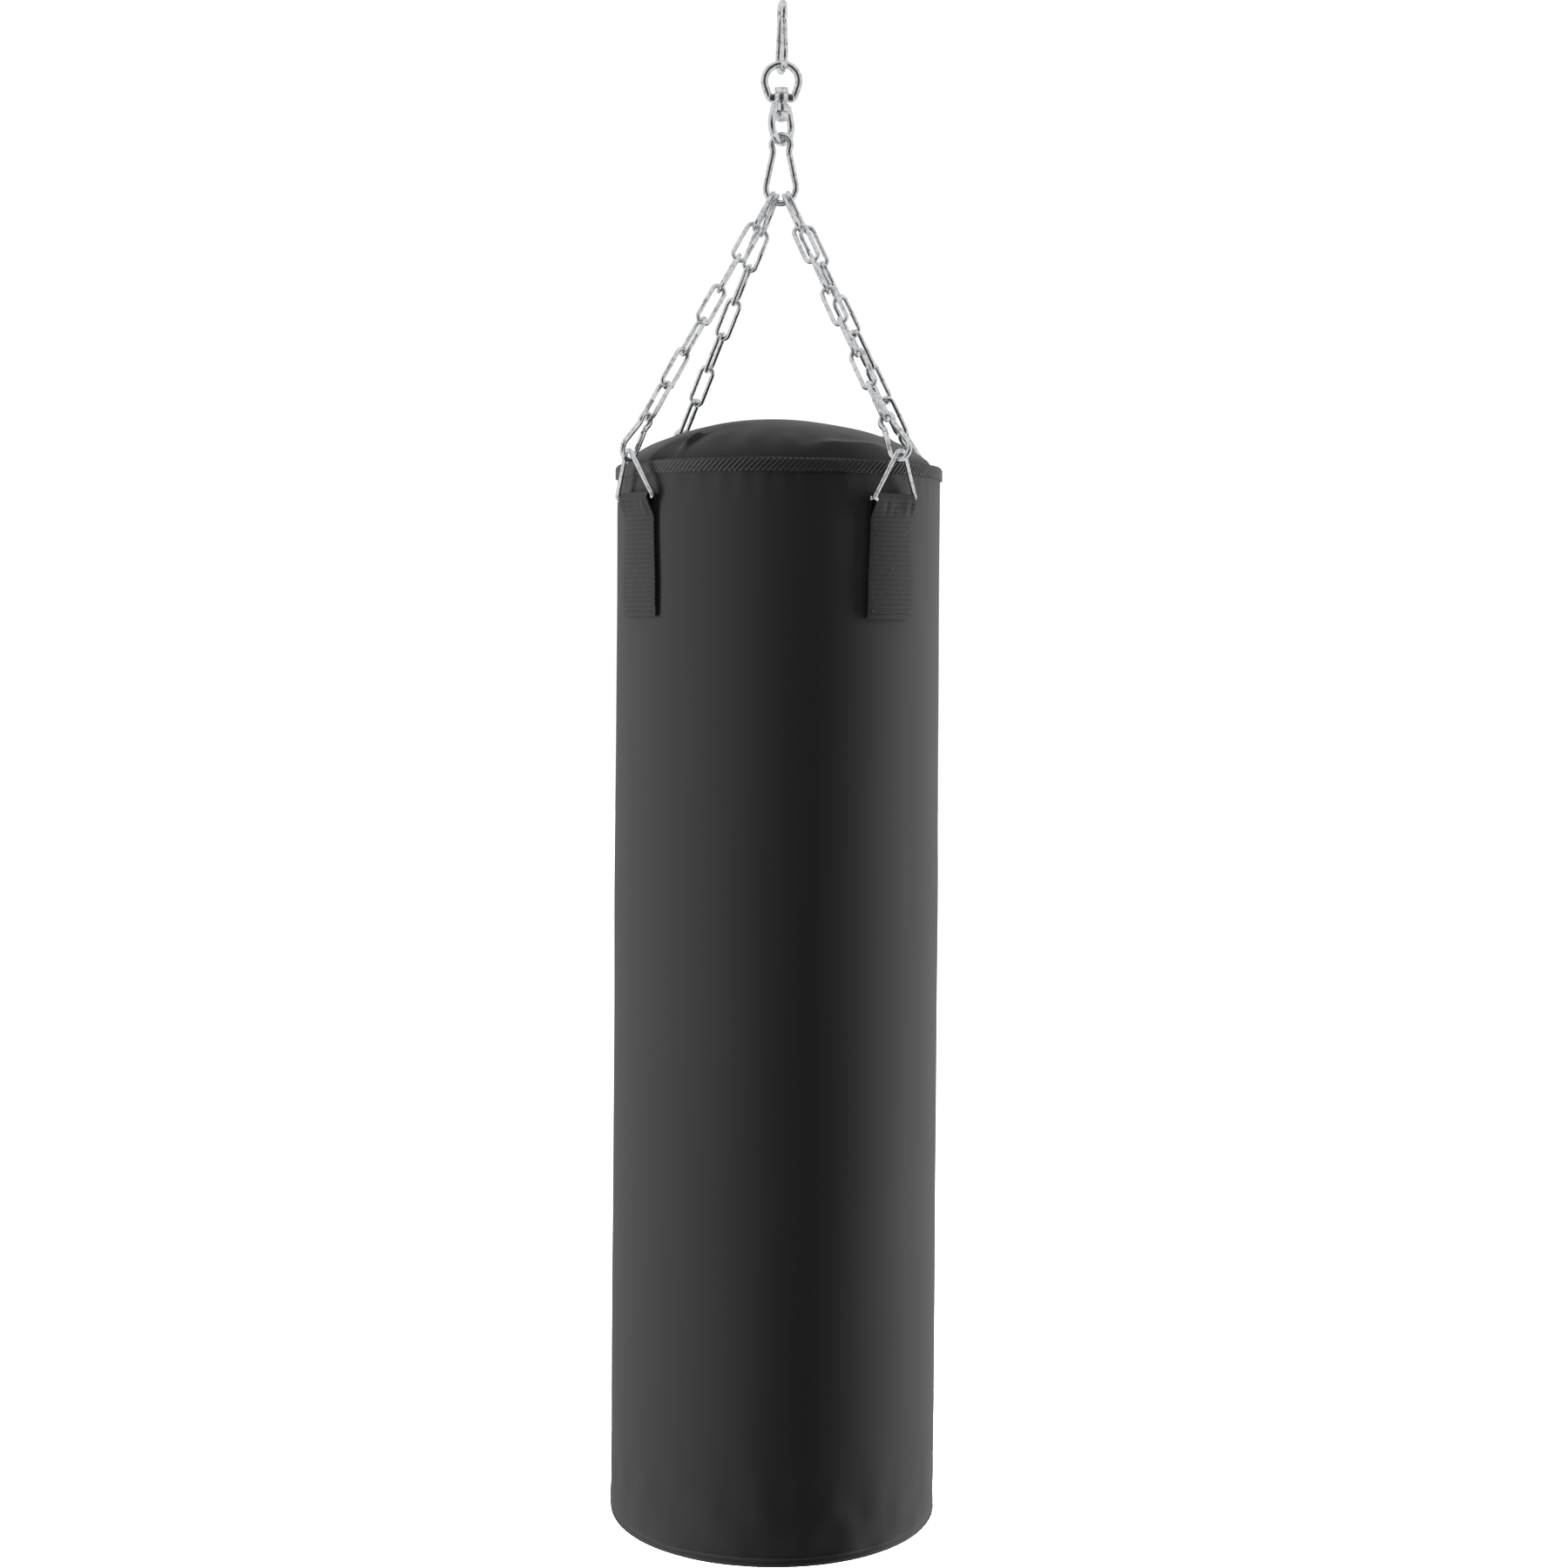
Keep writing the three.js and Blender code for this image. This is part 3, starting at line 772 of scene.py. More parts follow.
@dataclass(frozen=True)
class BondedThread:
    """Bonded polyester sewing thread: black, twisted, with a slight gloss on each stitch."""

    name: str = "bonded_polyester_thread"
    dark: str = "#131314"
    pale: str = "#37373a"
    twist_mm: float = 0.6

    def make(self) -> bpy.types.Material:
        """Builds the material."""
        material, tree, shader = new_material(self.name)
        place = add_node(tree, "TexCoord").outputs["Object"]
        turns = {"Vector": place, "Scale": 1 / (self.twist_mm * MM), "Distortion": 1.5}
        twist = add_node(tree, "TexWave", {"bands_direction": "DIAGONAL"}, turns).outputs["Fac"]
        # Painted highlight and shade: the twist's ridges are painted pale and its grooves dark
        link(tree, blend_colour(tree, twist, self.dark, self.pale), shader, "Base Color")
        relief_on(tree, shader, twist, 0.5, 0.1 * MM)
        shader.inputs["Roughness"].default_value = 0.45
        return material


@dataclass(frozen=True)
class TextileWaste:
    """Shredded textile packing: a felt of grey and beige fibres in clumps."""

    name: str = "shredded_textile_packing"
    first: str = "#8c8880"
    second: str = "#4f5560"

    def make(self) -> bpy.types.Material:
        """Builds the material."""
        material, tree, shader = new_material(self.name)
        place = add_node(tree, "TexCoord").outputs["Object"]
        clumps = noise_fac(tree, place, 90.0, 8.0)
        factor = ramp(tree, clumps, 0.4, 0.6)
        link(tree, blend_colour(tree, factor, self.first, self.second), shader, "Base Color")
        relief_on(tree, shader, clumps, 0.7, 3 * MM)
        shader.inputs["Roughness"].default_value = 0.95
        return material


class Finishes:
    """Every finish of the object, made once and handed to its pieces."""

    def __init__(self) -> None:
        """Makes the materials."""
        self.steel = PlatedSteel().make()
        # Real canvas has a thread every 0.8 mm; drawn twice as coarse so that it shows
        self.canvas = WovenCloth(
            "cotton_canvas", "#050505", "#3d3d3e", (1.6, 1.6), Weave.PLAIN, 0.55,
            sheen=0.04, lint_share=0.19,
        ).make()
        self.webbing = WovenCloth(
            "polypropylene_webbing", "#020202", "#272728", (2.2, 4.4), Weave.PLAIN,
            0.6, roughness=0.75, sheen=0.02, slub_range=(0.0, 0.16),
        ).make()
        self.tape = WovenCloth(
            "twill_binding_tape", "#010101", "#343435", (5.0, 5.0), Weave.TWILL, 0.6,
            roughness=0.7, sheen=0.04, slub_range=(0.0, 0.16),
        ).make()
        self.thread = BondedThread().make()
        self.packing = TextileWaste().make()


class Slot(Enum):
    """The record's material slots."""

    STEEL = "plated_steel"
    CANVAS = "canvas"
    WEBBING = "webbing"
    TAPE = "binding_tape"
    FILLING = "textile_filling"


@dataclass
class Dresser:
    """Gives a finished piece its material, body and place in the frame."""

    finishes: Finishes
    count: int = 0

    def dress(
        self,
        piece: bpy.types.Object,
        material: bpy.types.Material,
        body: str,
        slot: Slot,
        *nodes: str,
    ) -> bpy.types.Object:
        """Dresses one piece.

        Args:
            piece: the object.
            material: its material.
            body: the CAD body it rides on.
            slot: the record's material slot; not used.
            nodes: the CAD nodes it stands for.

        Returns:
            The object.
        """
        piece.data.materials.clear()
        piece.data.materials.append(material)
        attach(piece, body)
        if nodes:
            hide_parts(*nodes)
        self.count += 1
        LOG.info("%s: %d faces on %s", piece.name, len(piece.data.polygons), body)
        return piece


# ---------------------------------------------------------------- snap hooks


@dataclass(frozen=True)
class SnapHook:
    """A snap hook of bent wire with a sprung gate, in its own frame.

    The origin is the middle of the bar at the foot of the wide bend, the eye is up Z and the
    gate is on the +X side.
    """

    length: float
    wire: float
    width: float
    eye_width: float
    tongue: float
    pin: float
    hinge_share: float = 0.33
    splay: float = math.radians(20)
    neck_length: float = 3.2 * MM
    neck_radius: float = 7 * MM
    nose_share: float = 0.6
    rivet_proud: float = 0.35 * MM
    fit: float = 0.3 * MM

    @property
    def bend(self) -> float:
        """Radius of the wide bend's centre line."""
        return (self.width - self.wire) / 2

    @property
    def eye(self) -> float:
        """Radius of the eye's centre line."""
        return (self.eye_width - self.wire) / 2

    @property
    def top(self) -> float:
        """Height of the eye's wire above the bar."""
        return self.length - self.wire

    @property
    def neck(self) -> tuple:
        """The neck's place (x, z), where the flanks start to lean out."""
        flank_x = self.eye * math.cos(self.splay)
        flank_z = self.top - self.eye - self.eye * math.sin(self.splay)
        x = flank_x - self.neck_length * math.sin(self.splay)
        return x, flank_z - self.neck_length * math.cos(self.splay)

    @property
    def lean(self) -> float:
        """How far the flanks lean from upright."""
        x, z = self.neck
        rise = z - self.bend
        return math.atan2(rise, x) - math.acos(self.bend / math.hypot(x, rise))

    @property
    def hinge(self) -> tuple:
        """The gate hinge's place (x, z)."""
        x, z = self.neck
        height = self.hinge_share * self.length
        return x + (z - height) * math.tan(self.lean), height

    @property
    def reach(self) -> float:
        """From the hinge to the neck."""
        return math.dist(self.neck, self.hinge)

    def along(self, distance: float) -> tuple:
        """The place (x, z) on the gate's line at a distance above the hinge."""
        x, z = self.hinge
        return x - distance * math.sin(self.lean), z + distance * math.cos(self.lean)

    @property
    def gate_frame(self) -> Matrix:
        """The gate's own frame: its hinge is the origin and it runs up Z."""
        x, z = self.hinge
        return Matrix.Translation((x, 0, z)) @ Matrix.Rotation(-self.lean, 4, "Y")

    def body_mesh(self, name: str) -> bpy.types.Mesh:
        """The bent wire body, with a flat tongue at each end."""
        nose = self.nose_share * self.wire
        flat = Vector((0, 1, 0))
        thin = self.tongue / self.wire
        top = 0.4 * self.wire
        shoulder = self.wire / 2 + 2 * self.fit
        start = self.along(top)
        down = Vector((math.sin(self.lean), 0, -math.cos(self.lean)))
        run = WireRun(self.wire / 2, 20, Vector((start[0], 0, start[1])), down)
        run.neck([top + shoulder - 0.5 * MM, 0.5 * MM], [1.0, 1.0 / thin], flat)
        bmesh.ops.scale(run.bm, vec=(1, thin, 1), verts=run.bm.verts[:])
        bottom = self.bend / math.tan((math.pi / 2 - self.lean) / 2)
        crown = self.eye / math.tan((math.pi / 2 - self.splay) / 2)
        neck_x, neck_z = self.neck
        full_end = self.along(self.reach - nose)
        corners = [
            (bottom, 0, self.bend),
            (-bottom, 0, self.bend),
            (-neck_x, neck_z, self.neck_radius),
            (-crown, self.top, self.eye),
            (crown, self.top, self.eye),
            (neck_x, neck_z, self.neck_radius),
            (*full_end, 0),
        ]
        run.follow(corners, 9)
        run.neck([0.4 * MM, nose - 0.4 * MM], [thin, thin], flat)
        return mesh_from(run.capped(0.3 * MM), name)

    def gate_mesh(self, name: str) -> bpy.types.Mesh:
        """The gate: a rod that forks over both tongues, with its rivet."""
        nose = self.nose_share * self.wire
        end = self.reach - nose - self.fit
        slot = self.tongue / 2 + self.fit
        wide = self.wire
        base = rod(self.wire / 2, -self.wire / 2, end, 24, 0.5 * MM)
        hinge_slot = block((-wide, -slot, -wide), (wide, slot, wide / 2 + self.fit))
        nose_slot = block((-wide, -slot, end - nose), (wide, slot, self.reach))
        mesh = combined(base, [hinge_slot, nose_slot], "DIFFERENCE", name)
        whole = bmesh.new()
        whole.from_mesh(mesh)
        head = self.wire / 2 + self.rivet_proud
        merge(whole, rod(self.pin, -head, head, 16, 0.3 * MM, "Y"))
        bmesh.ops.transform(whole, matrix=self.gate_frame, verts=whole.verts[:])
        return mesh_from(whole, name, 35)

    def frame_at(self, hinge: Vector, across: Vector, up: Vector) -> Matrix:
        """The hook's frame from its gate's hinge, the hinge's line and the way up."""
        x_axis = across.cross(up).normalized()
        x, z = self.hinge
        return axes(hinge - x_axis * x - up * z, x_axis, up)


BIG_HOOK = SnapHook(70 * MM, 6 * MM, 35 * MM, 24 * MM, 2 * MM, 1.2 * MM)
SMALL_HOOK = SnapHook(53.5 * MM, 5 * MM, 26 * MM, 18.5 * MM, 1.6 * MM, 1 * MM)


@dataclass
class BigHooks:
    """The top and the lower snap hook, each with its gate."""

    dresser: Dresser
    joints: dict

    def build(self) -> None:
        """Builds and dresses both hooks."""
        body = BIG_HOOK.body_mesh("big_hook")
        gate = BIG_HOOK.gate_mesh("big_gate")
        steel = self.dresser.finishes.steel
        for name in ("top", "lower"):
            joint = self.joints[f"{name}_gate_hinge"]
            across = -Vector(joint["axis"])
            frame = BIG_HOOK.frame_at(Vector(joint["pos_m"]), across, Vector((0, 0, 1)))
            wire = placed(body, f"{name}_snap_hook", frame)
            self.dresser.dress(wire, steel, f"{name}_hook", Slot.STEEL, f"{name}_hook_body")
            leaf = placed(gate, f"{name}_snap_gate", frame)
            self.dresser.dress(leaf, steel, f"{name}_gate", Slot.STEEL, f"{name}_hook_gate")


# ---------------------------------------------------------------- swivel


@dataclass
class Swivel:
    """Two forged eyes that turn on one bolt."""

    dresser: Dresser
    joints: dict
    width: float = 39.5 * MM
    height: float = 39.3 * MM
    wire: float = 7 * MM
    base: float = 7.6 * MM
    boss: float = 15 * MM
    flat: float = 8 * MM
    taper: float = math.radians(20)
    corner: float = 2.5 * MM
    shank: float = 7 * MM
    across_corners: float = 15 * MM
    head: float = 5.3 * MM
    nut: float = 7 * MM
    tail: float = 1.5 * MM
    fit: float = 0.3 * MM
    thread_pitch: float = 1 * MM

    def eye_mesh(self, name: str) -> bpy.types.Mesh:
        """One eye: a tapered ring with a drilled foot, its foot's middle at the origin."""
        radius = (self.width - self.wire) / 2
        crown_z = self.height - self.base / 2 - self.wire / 2
        sin, cos = math.sin(self.taper), math.cos(self.taper)
        tangent_z = crown_z - radius - radius * sin
        foot = radius * cos - tangent_z * sin / cos
        crown = radius / math.tan((math.pi / 2 - self.taper) / 2)
        corners = [
            (foot, 0, self.corner),
            (crown, crown_z, radius),
            (-crown, crown_z, radius),
            (-foot, 0, self.corner),
            (0, 0, 0),
        ]
        run = WireRun(self.wire / 2, 24, Vector((0, 0, 0)), Vector((1, 0, 0)))
        run.follow(corners, 7)
        half = self.base / 2
        bar_low = (-foot - 0.5 * MM, -self.flat / 2, -half)
        bar = block(bar_low, (foot + 0.5 * MM, self.flat / 2, half), 1.3 * MM)
        hub = rod(self.boss / 2, -half, half, 40, 0.7 * MM)
        bore = rod(self.shank / 2 + self.fit, -self.base, self.base, 32, 0)
        solid = combined(run.closed(), [bar, hub], "UNION", name)
        whole = bmesh.new()
        whole.from_mesh(solid)
        return combined(whole, [bore], "DIFFERENCE", name)

    def bolt_mesh(self, head_seat: float, nut_seat: float, name: str) -> bpy.types.Mesh:
        """The bolt: a chamfered hexagon head on a shank whose end is threaded."""
        head = rod(self.across_corners / 2, head_seat, head_seat + self.head, 6, 0.7 * MM)
        end = nut_seat - self.nut - self.tail
        crest, root = self.shank / 2, self.shank / 2 - 0.35 * MM
        outline = [(0, end), (root, end)]
        turns = int((self.nut + self.tail) / self.thread_pitch)
        for turn in range(turns):
            low = end + turn * self.thread_pitch
            outline += [(crest, low + self.thread_pitch / 2), (root, low + self.thread_pitch)]
        outline += [(crest, nut_seat), (crest, head_seat + MM), (0, head_seat + MM)]
        merge(head, spun(outline, [0] * len(outline), SECTOR_STEPS))
        return mesh_from(head, name, 30)

    def build(self) -> None:
        """Builds and dresses the eyes, the bolt and the nut."""
        steel = self.dresser.finishes.steel
        eye = self.eye_mesh("swivel_eye_mesh")
        upper_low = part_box("swivel_upper_eye")[0].z
        upper_z = upper_low + self.base / 2
        frame = Matrix.Translation((0, 0, upper_z))
        upper = placed(eye, "swivel_upper_ring", frame)
        self.dresser.dress(upper, steel, "swivel_ring", Slot.STEEL, "swivel_upper_eye")
        centre = Vector(self.joints["swivel_spin"]["pos_m"])
        plane = Vector(self.joints["hook_swing"]["axis"])
        lower = placed(eye, "swivel_lower_ring", axes(centre, plane, Vector((0, 0, -1))))
        self.dresser.dress(lower, steel, "swivel_eye", Slot.STEEL, "swivel_lower_eye")
        head_seat = upper_z + self.base / 2 + self.fit
        nut_seat = centre.z - self.base / 2 - self.fit
        bolt_mesh = self.bolt_mesh(head_seat, nut_seat, "hex_bolt_mesh")
        bolt = placed(bolt_mesh, "swivel_hex_bolt", Matrix.Identity(4))
        self.dresser.dress(bolt, steel, "swivel_eye", Slot.STEEL, "swivel_bolt")
        body = rod(self.across_corners / 2, nut_seat - self.nut, nut_seat, 6, 0.7 * MM)
        bore = rod(self.shank / 2 + self.fit, nut_seat - 2 * self.nut, nut_seat + MM, 32, 0)
        nut_mesh = combined(body, [bore], "DIFFERENCE", "hex_nut_mesh")
        nut = placed(nut_mesh, "swivel_hex_nut", Matrix.Identity(4))
        self.dresser.dress(nut, steel, "swivel_eye", Slot.STEEL, "swivel_nut")


# ---------------------------------------------------------------- chain legs


@dataclass(frozen=True)
class Link:
    """One welded long link of the chain, standing up Z in its own XZ plane."""

    pitch: float = 37.4 * MM
    wire: float = 4.2 * MM
    width: float = 17 * MM

    def mesh(self, name: str) -> bpy.types.Mesh:
        """The link's wire, with a weld bead half way up one flank."""
        half_width = (self.width - self.wire) / 2
        half_length = (self.pitch + self.wire) / 2
        run = WireRun(self.wire / 2, 16, Vector((half_width, 0, 0)), Vector((0, 0, 1)))
        corners = [
            (half_width, half_length, half_width),
            (-half_width, half_length, half_width),
            (-half_width, -half_length, half_width),
            (half_width, -half_length, half_width),
            (half_width, 0, 0),
        ]
        run.follow(corners, 11, weld=2)
        return mesh_from(run.closed(), name, 60)


@dataclass(frozen=True)
class WireTriangle:
    """A triangle of bent wire whose two ends meet side by side at one foot.

    Its apex is at the origin and its bar is below it; -Y is away from the bag.
    """

    width: float = 61 * MM
    height: float = 48 * MM
    wire: float = 4.3 * MM
    apex_radius: float = 5.5 * MM
    corner_radius: float = 2.6 * MM
    overlap: float = 5 * MM

    @property
    def drop(self) -> float:
        """From the apex's wire to the bar, along the triangle."""
        return self.height - self.wire

    def mesh(self, name: str) -> bpy.types.Mesh:
        """The triangle's wire."""
        foot = (self.width - self.wire) / 2
        flank = math.atan2(foot - self.apex_radius, self.drop)
        peak = self.apex_radius / math.sin(flank) - self.apex_radius
        start = Vector((-foot - 0.3 * MM, 0, -self.drop))
        run = WireRun(self.wire / 2, 20, start, Vector((1, 0, 0)))
        corners = [
            (foot, -self.drop, self.corner_radius),
            (0, peak, self.apex_radius),
            (-foot, -self.drop, self.corner_radius),
            (-foot + self.overlap, -self.drop, 0),
        ]
        run.follow(corners, 12)
        # The second end steps forward so that it lies beside the first
        reach, total = 24 * MM, run.length
        for vert in run.bm.verts:
            step = smooth_step(vert[run.along], total - reach, total - self.overlap)
            vert.co.y -= self.wire * step
        return mesh_from(run.capped(0.9 * MM), name)


@dataclass
class WebbingStrap:
    """A strap folded over a triangle's bar and sewn flat to the bag with a boxed cross.

    The bar's middle is the origin; +Y is towards the bag.
    """

    width: float = 55 * MM
    length: float = 108 * MM
    ply: float = 2 * MM
    throat: float = 0.86
    seam_share: float = 0.91
    seam_drop: float = 18 * MM
    bar_wire: float = 4.3 * MM
    rib: float = 4.4 * MM
    rib_depth: float = 0.55 * MM
    stitch_pitch: float = 3.6 * MM
    hem_height: float = 0.7 * MM
    columns: int = 26
    fit: float = 0.3 * MM

    def middle_line(self, gap: float) -> list:
        """The strap's middle line as (y, z), from the foot of its front ply to its back.

        Args:
            gap: from the bar's middle to the canvas at the strap's foot.

        Returns:
            Points close enough together to follow.
        """
        back = gap - self.fit - self.ply / 2
        front = back - self.ply
        loop = self.bar_wire / 2 + self.fit + self.ply / 2
        points = [(front, -self.length), (front, -self.seam_drop - 2 * MM)]
        points.append((front - 0.4 * MM, -self.seam_drop + 2 * MM))
        for degrees in range(200, -1, -10):
            angle = math.radians(degrees)
            points.append((loop * math.cos(angle), loop * math.sin(angle)))
        points.append((back, -self.seam_drop))
        points.append((back, -self.length))
        return points

    @staticmethod
    def at(points: list, distance: float) -> tuple:
        """The place, and the way to the outside, at a distance along a line of points."""
        left = distance
        for (y0, z0), (y1, z1) in zip(points, points[1:]):
            span = math.dist((y0, z0), (y1, z1))
            if left <= span or (y1, z1) == points[-1]:
                share = left / span
                place = (y0 + (y1 - y0) * share, z0 + (z1 - z0) * share)
                return place, (-(z1 - z0) / span, (y1 - y0) / span)
            left -= span
        return points[-1], (1.0, 0.0)

    def curl(self, x: float, z: float, bag_radius: float) -> tuple:
        """Where the strap's width lies at a height.

        Args:
            x: the place across the strap.
            z: the height below the bar, negative.
            bag_radius: the bag's radius there.

        Returns:
            The new x and the step towards the bag.
        """
        sewn = smooth_step(-z, 4 * MM, self.seam_drop)
        sag = bag_radius - math.sqrt(bag_radius**2 - x**2)
        upper = min(1.0, max(0.0, -z / self.seam_drop))
        lower = smooth_step(-z, self.seam_drop, 0.8 * self.length)
        narrow = self.throat + (self.seam_share - self.throat) * upper
        narrow += (1 - self.seam_share) * lower
        return x * narrow, sag * sewn

    def mesh(self, gap: float, bag_radius: float, seed: float, name: str) -> bpy.types.Mesh:
        """The folded strap with its ribs.

        Args:
            gap: from the bar's middle to the canvas at the strap's foot.
            bag_radius: the bag's radius.
            seed: shifts the creases, so that no two straps are the same.
            name: the mesh's name.

        Returns:
            The mesh.
        """
        points = self.middle_line(gap)
        total = sum(math.dist(a, b) for a, b in zip(points, points[1:]))
        rows = round(total / (self.rib / 6))
        bm = bmesh.new()
        bmesh.ops.create_grid(bm, x_segments=self.columns, y_segments=rows, size=0.5)
        layer = bm.loops.layers.uv.verify()
        for vert in bm.verts:
            vert.co = Vector((vert.co.x * self.width, (vert.co.y + 0.5) * total, 0))
        for face in bm.faces:
            for loop in face.loops:
                loop[layer].uv = (loop.vert.co.x, loop.vert.co.y)
        for vert in bm.verts:
            across, along = vert.co.x, vert.co.y
            (y, z), (out_y, out_z) = self.at(points, along)
            x, sag = self.curl(across, z, bag_radius)
            loose = 1 - smooth_step(-z, 8 * MM, self.seam_drop + 3 * MM)
            crease = noise.noise(Vector((across * 150 + seed, along * 18, seed)))
            gather = 1.8 * MM * crease * loose * smooth_step(-z, -2 * MM, 6 * MM)
            edge = smooth_step(abs(across), self.width / 2 - 2.5 * MM, self.width / 2)
            rib = self.rib_depth * math.cos(2 * math.pi * along / self.rib) * (1 - 0.6 * edge)
            hem = self.hem_height * (1 - smooth_step(along, 8 * MM, 9.5 * MM))
            lift = -(rib + hem)
            vert.co = Vector((x, y + sag + out_y * lift - gather, z + out_z * lift))
        bmesh.ops.recalc_face_normals(bm, faces=bm.faces[:])
        bmesh.ops.solidify(bm, geom=bm.faces[:], thickness=self.ply * 0.8)
        bmesh.ops.recalc_face_normals(bm, faces=bm.faces[:])
        return mesh_from(bm, name, 70)

    def seam_points(self, gap: float, bag_radius: float) -> list:
        """Where each stitch of the boxed cross lies, and which way it runs.

        Args:
            gap: from the bar's middle to the canvas at the strap's foot.
            bag_radius: the bag's radius.

        Returns:
            (place, way, outward) for each stitch.
        """
        side, top, foot = self.width / 2 - 4 * MM, -self.seam_drop, -self.length + 5 * MM
        box_top = top - 4 * MM
        lines = [
            ((-side, top), (side, top)),
            ((-side, box_top), (-side, foot)),
            ((side, box_top), (side, foot)),
            ((-side, foot), (side, foot)),
            ((-side, box_top), (side, foot)),
            ((side, box_top), (-side, foot)),
        ]
        front = gap - self.fit - 2 * self.ply
        found = []
        for (x0, z0), (x1, z1) in lines:
            length = math.dist((x0, z0), (x1, z1))
            count = round(length / self.stitch_pitch)
            for index in range(count):
                share = (index + 0.5) / count
                x, z = x0 + (x1 - x0) * share, z0 + (z1 - z0) * share
                moved, sag = self.curl(x, z, bag_radius)
                place = Vector((moved, front + sag - 0.3 * MM, z))
                way = Vector((x1 - x0, 0, z1 - z0)).normalized()
                found.append((place, way, Vector((0, -1, 0))))
        return found


def stitches_mesh(points: list, length: float, radius: float, name: str) -> bpy.types.Mesh:
    """A row of stitches, each a small drawn-out bead of thread.

    Args:
        points: (place, way, outward) of each stitch.
        length: a stitch's length.
        radius: the thread's radius.
        name: the mesh's name.

    Returns:
        The mesh.
    """
    bead = bmesh.new()
    size = Matrix.Diagonal((length / 2, radius, radius, 1))
    bmesh.ops.create_uvsphere(bead, u_segments=6, v_segments=5, radius=1, matrix=size)
    places = []
    for place, way, outward in points:
        side = way.cross(outward).normalized()
        turn = Matrix((way, side, way.cross(side))).transposed().to_4x4()
        places.append(Matrix.Translation(place) @ turn)
    return mesh_from(repeated(bead, places), name, 80)


@dataclass
class ChainLeg:
    """One leg: seven links, a small snap hook, a wire triangle and its strap."""

    name: str
    bearing: float
    twist: float
    dresser: Dresser
    joints: dict
    bag: "Bag"
    links: int = 7
    seat_drop: float = 7.45 * MM

    def link_centre(self, number: int) -> Vector:
        """The middle of one of the frame's links."""
        low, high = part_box(f"{self.name}_link_{number}")
        return (low + high) / 2

    def build(self, link: bpy.types.Mesh, hook: tuple, triangle: bpy.types.Mesh) -> None:
        """Builds and dresses the leg.

        Args:
            link: the mesh of a link.
            hook: the meshes of the small hook's body and gate.
            triangle: the mesh of a triangle.
        """
        steel = self.dresser.finishes.steel
        joint = self.joints[f"{self.name}_gate_hinge"]
        up = (self.link_centre(1) - self.link_centre(self.links)).normalized()
        across = -Vector(joint["axis"])
        down = -up
        crossing = -(Matrix.Rotation(math.radians(-self.twist), 3, down) @ across)
        flat = crossing.cross(down)
        for order in range(self.links):
            turn = Matrix.Rotation(math.radians(self.twist * order / self.links), 3, down)
            normal = turn @ (-crossing if order % 2 else flat)
            x_axis = normal.cross(up) * (-1 if order % 3 == 1 else 1)
            frame = axes(self.link_centre(order + 1), x_axis, up)
            ring = placed(link, f"{self.name}_chain_link_{order + 1}", frame)
            node = f"{self.name}_link_{order + 1}"
            self.dresser.dress(ring, steel, BAG_BODY, Slot.STEEL, node)
        frame = SMALL_HOOK.frame_at(Vector(joint["pos_m"]), across, up)
        wire = placed(hook[0], f"{self.name}_snap_hook", frame)
        self.dresser.dress(wire, steel, BAG_BODY, Slot.STEEL, f"{self.name}_hook_body")
        leaf = placed(hook[1], f"{self.name}_snap_gate", frame)
        gate = f"{self.name}_gate"
        self.dresser.dress(leaf, steel, gate, Slot.STEEL, f"{self.name}_hook_gate")
        self.build_strap(frame.translation + up * self.seat_drop, triangle)

    def build_strap(self, apex: Vector, triangle: bpy.types.Mesh) -> None:
        """Builds the triangle below the hook, and the strap that it holds.

        Args:
            apex: the middle of the triangle's wire at its apex.
            triangle: the triangle's mesh.
        """
        finishes = self.dresser.finishes
        shape, strap = WireTriangle(), WebbingStrap()
        turn = Matrix.Rotation(math.radians(self.bearing), 4, "Z")
        bar_gap = shape.wire / 2 + strap.ply + 2 * strap.fit
        radius_here = self.bag.radius(apex.z - shape.drop)
        inward = math.hypot(apex.x, apex.y) - radius_here - bar_gap
        lean = Matrix.Rotation(math.asin(inward / shape.drop), 4, "X")
        frame = Matrix.Translation(apex) @ turn
        wire = placed(triangle, f"{self.name}_wire_triangle", frame @ lean)
        node = f"{self.name}_triangle"
        self.dresser.dress(wire, finishes.steel, BAG_BODY, Slot.STEEL, node)
        bar = Vector((0, inward, -math.sqrt(shape.drop**2 - inward**2)))
        place = frame @ Matrix.Translation(bar)
        foot = apex.z + bar.z - strap.length
        gap = bar_gap + radius_here - self.bag.radius(foot)
        seed = self.bearing * 0.37
        band_mesh = strap.mesh(gap, radius_here, seed, f"{self.name}_webbing")
        band = placed(band_mesh, f"{self.name}_webbing_strap", place)
        self.dresser.dress(band, finishes.webbing, BAG_BODY, Slot.WEBBING, f"{self.name}_strap")
        points = strap.seam_points(gap, radius_here)
        rows = stitches_mesh(points, 2.7 * MM, 0.5 * MM, f"{self.name}_stitching_mesh")
        sewing = placed(rows, f"{self.name}_strap_stitching", place)
        self.dresser.dress(sewing, finishes.thread, BAG_BODY, Slot.WEBBING)


# ---------------------------------------------------------------- bag


# Each fold of the dome in plan: where its ridge starts and ends, its width and its height
DOME_FOLDS = (
    ((-0.095, -0.122), (-0.070, -0.085), 4 * MM, 5.5 * MM),
    ((0.030, -0.142), (0.112, -0.096), 8 * MM, 7.0 * MM),
    ((-0.02, 0.02), (0.05, 0.09), 12 * MM, 4.0 * MM),
    ((-0.10, 0.03), (-0.04, 0.11), 9 * MM, 4.5 * MM),
    ((0.10, 0.0), (0.125, 0.05), 6 * MM, 3.0 * MM),
)


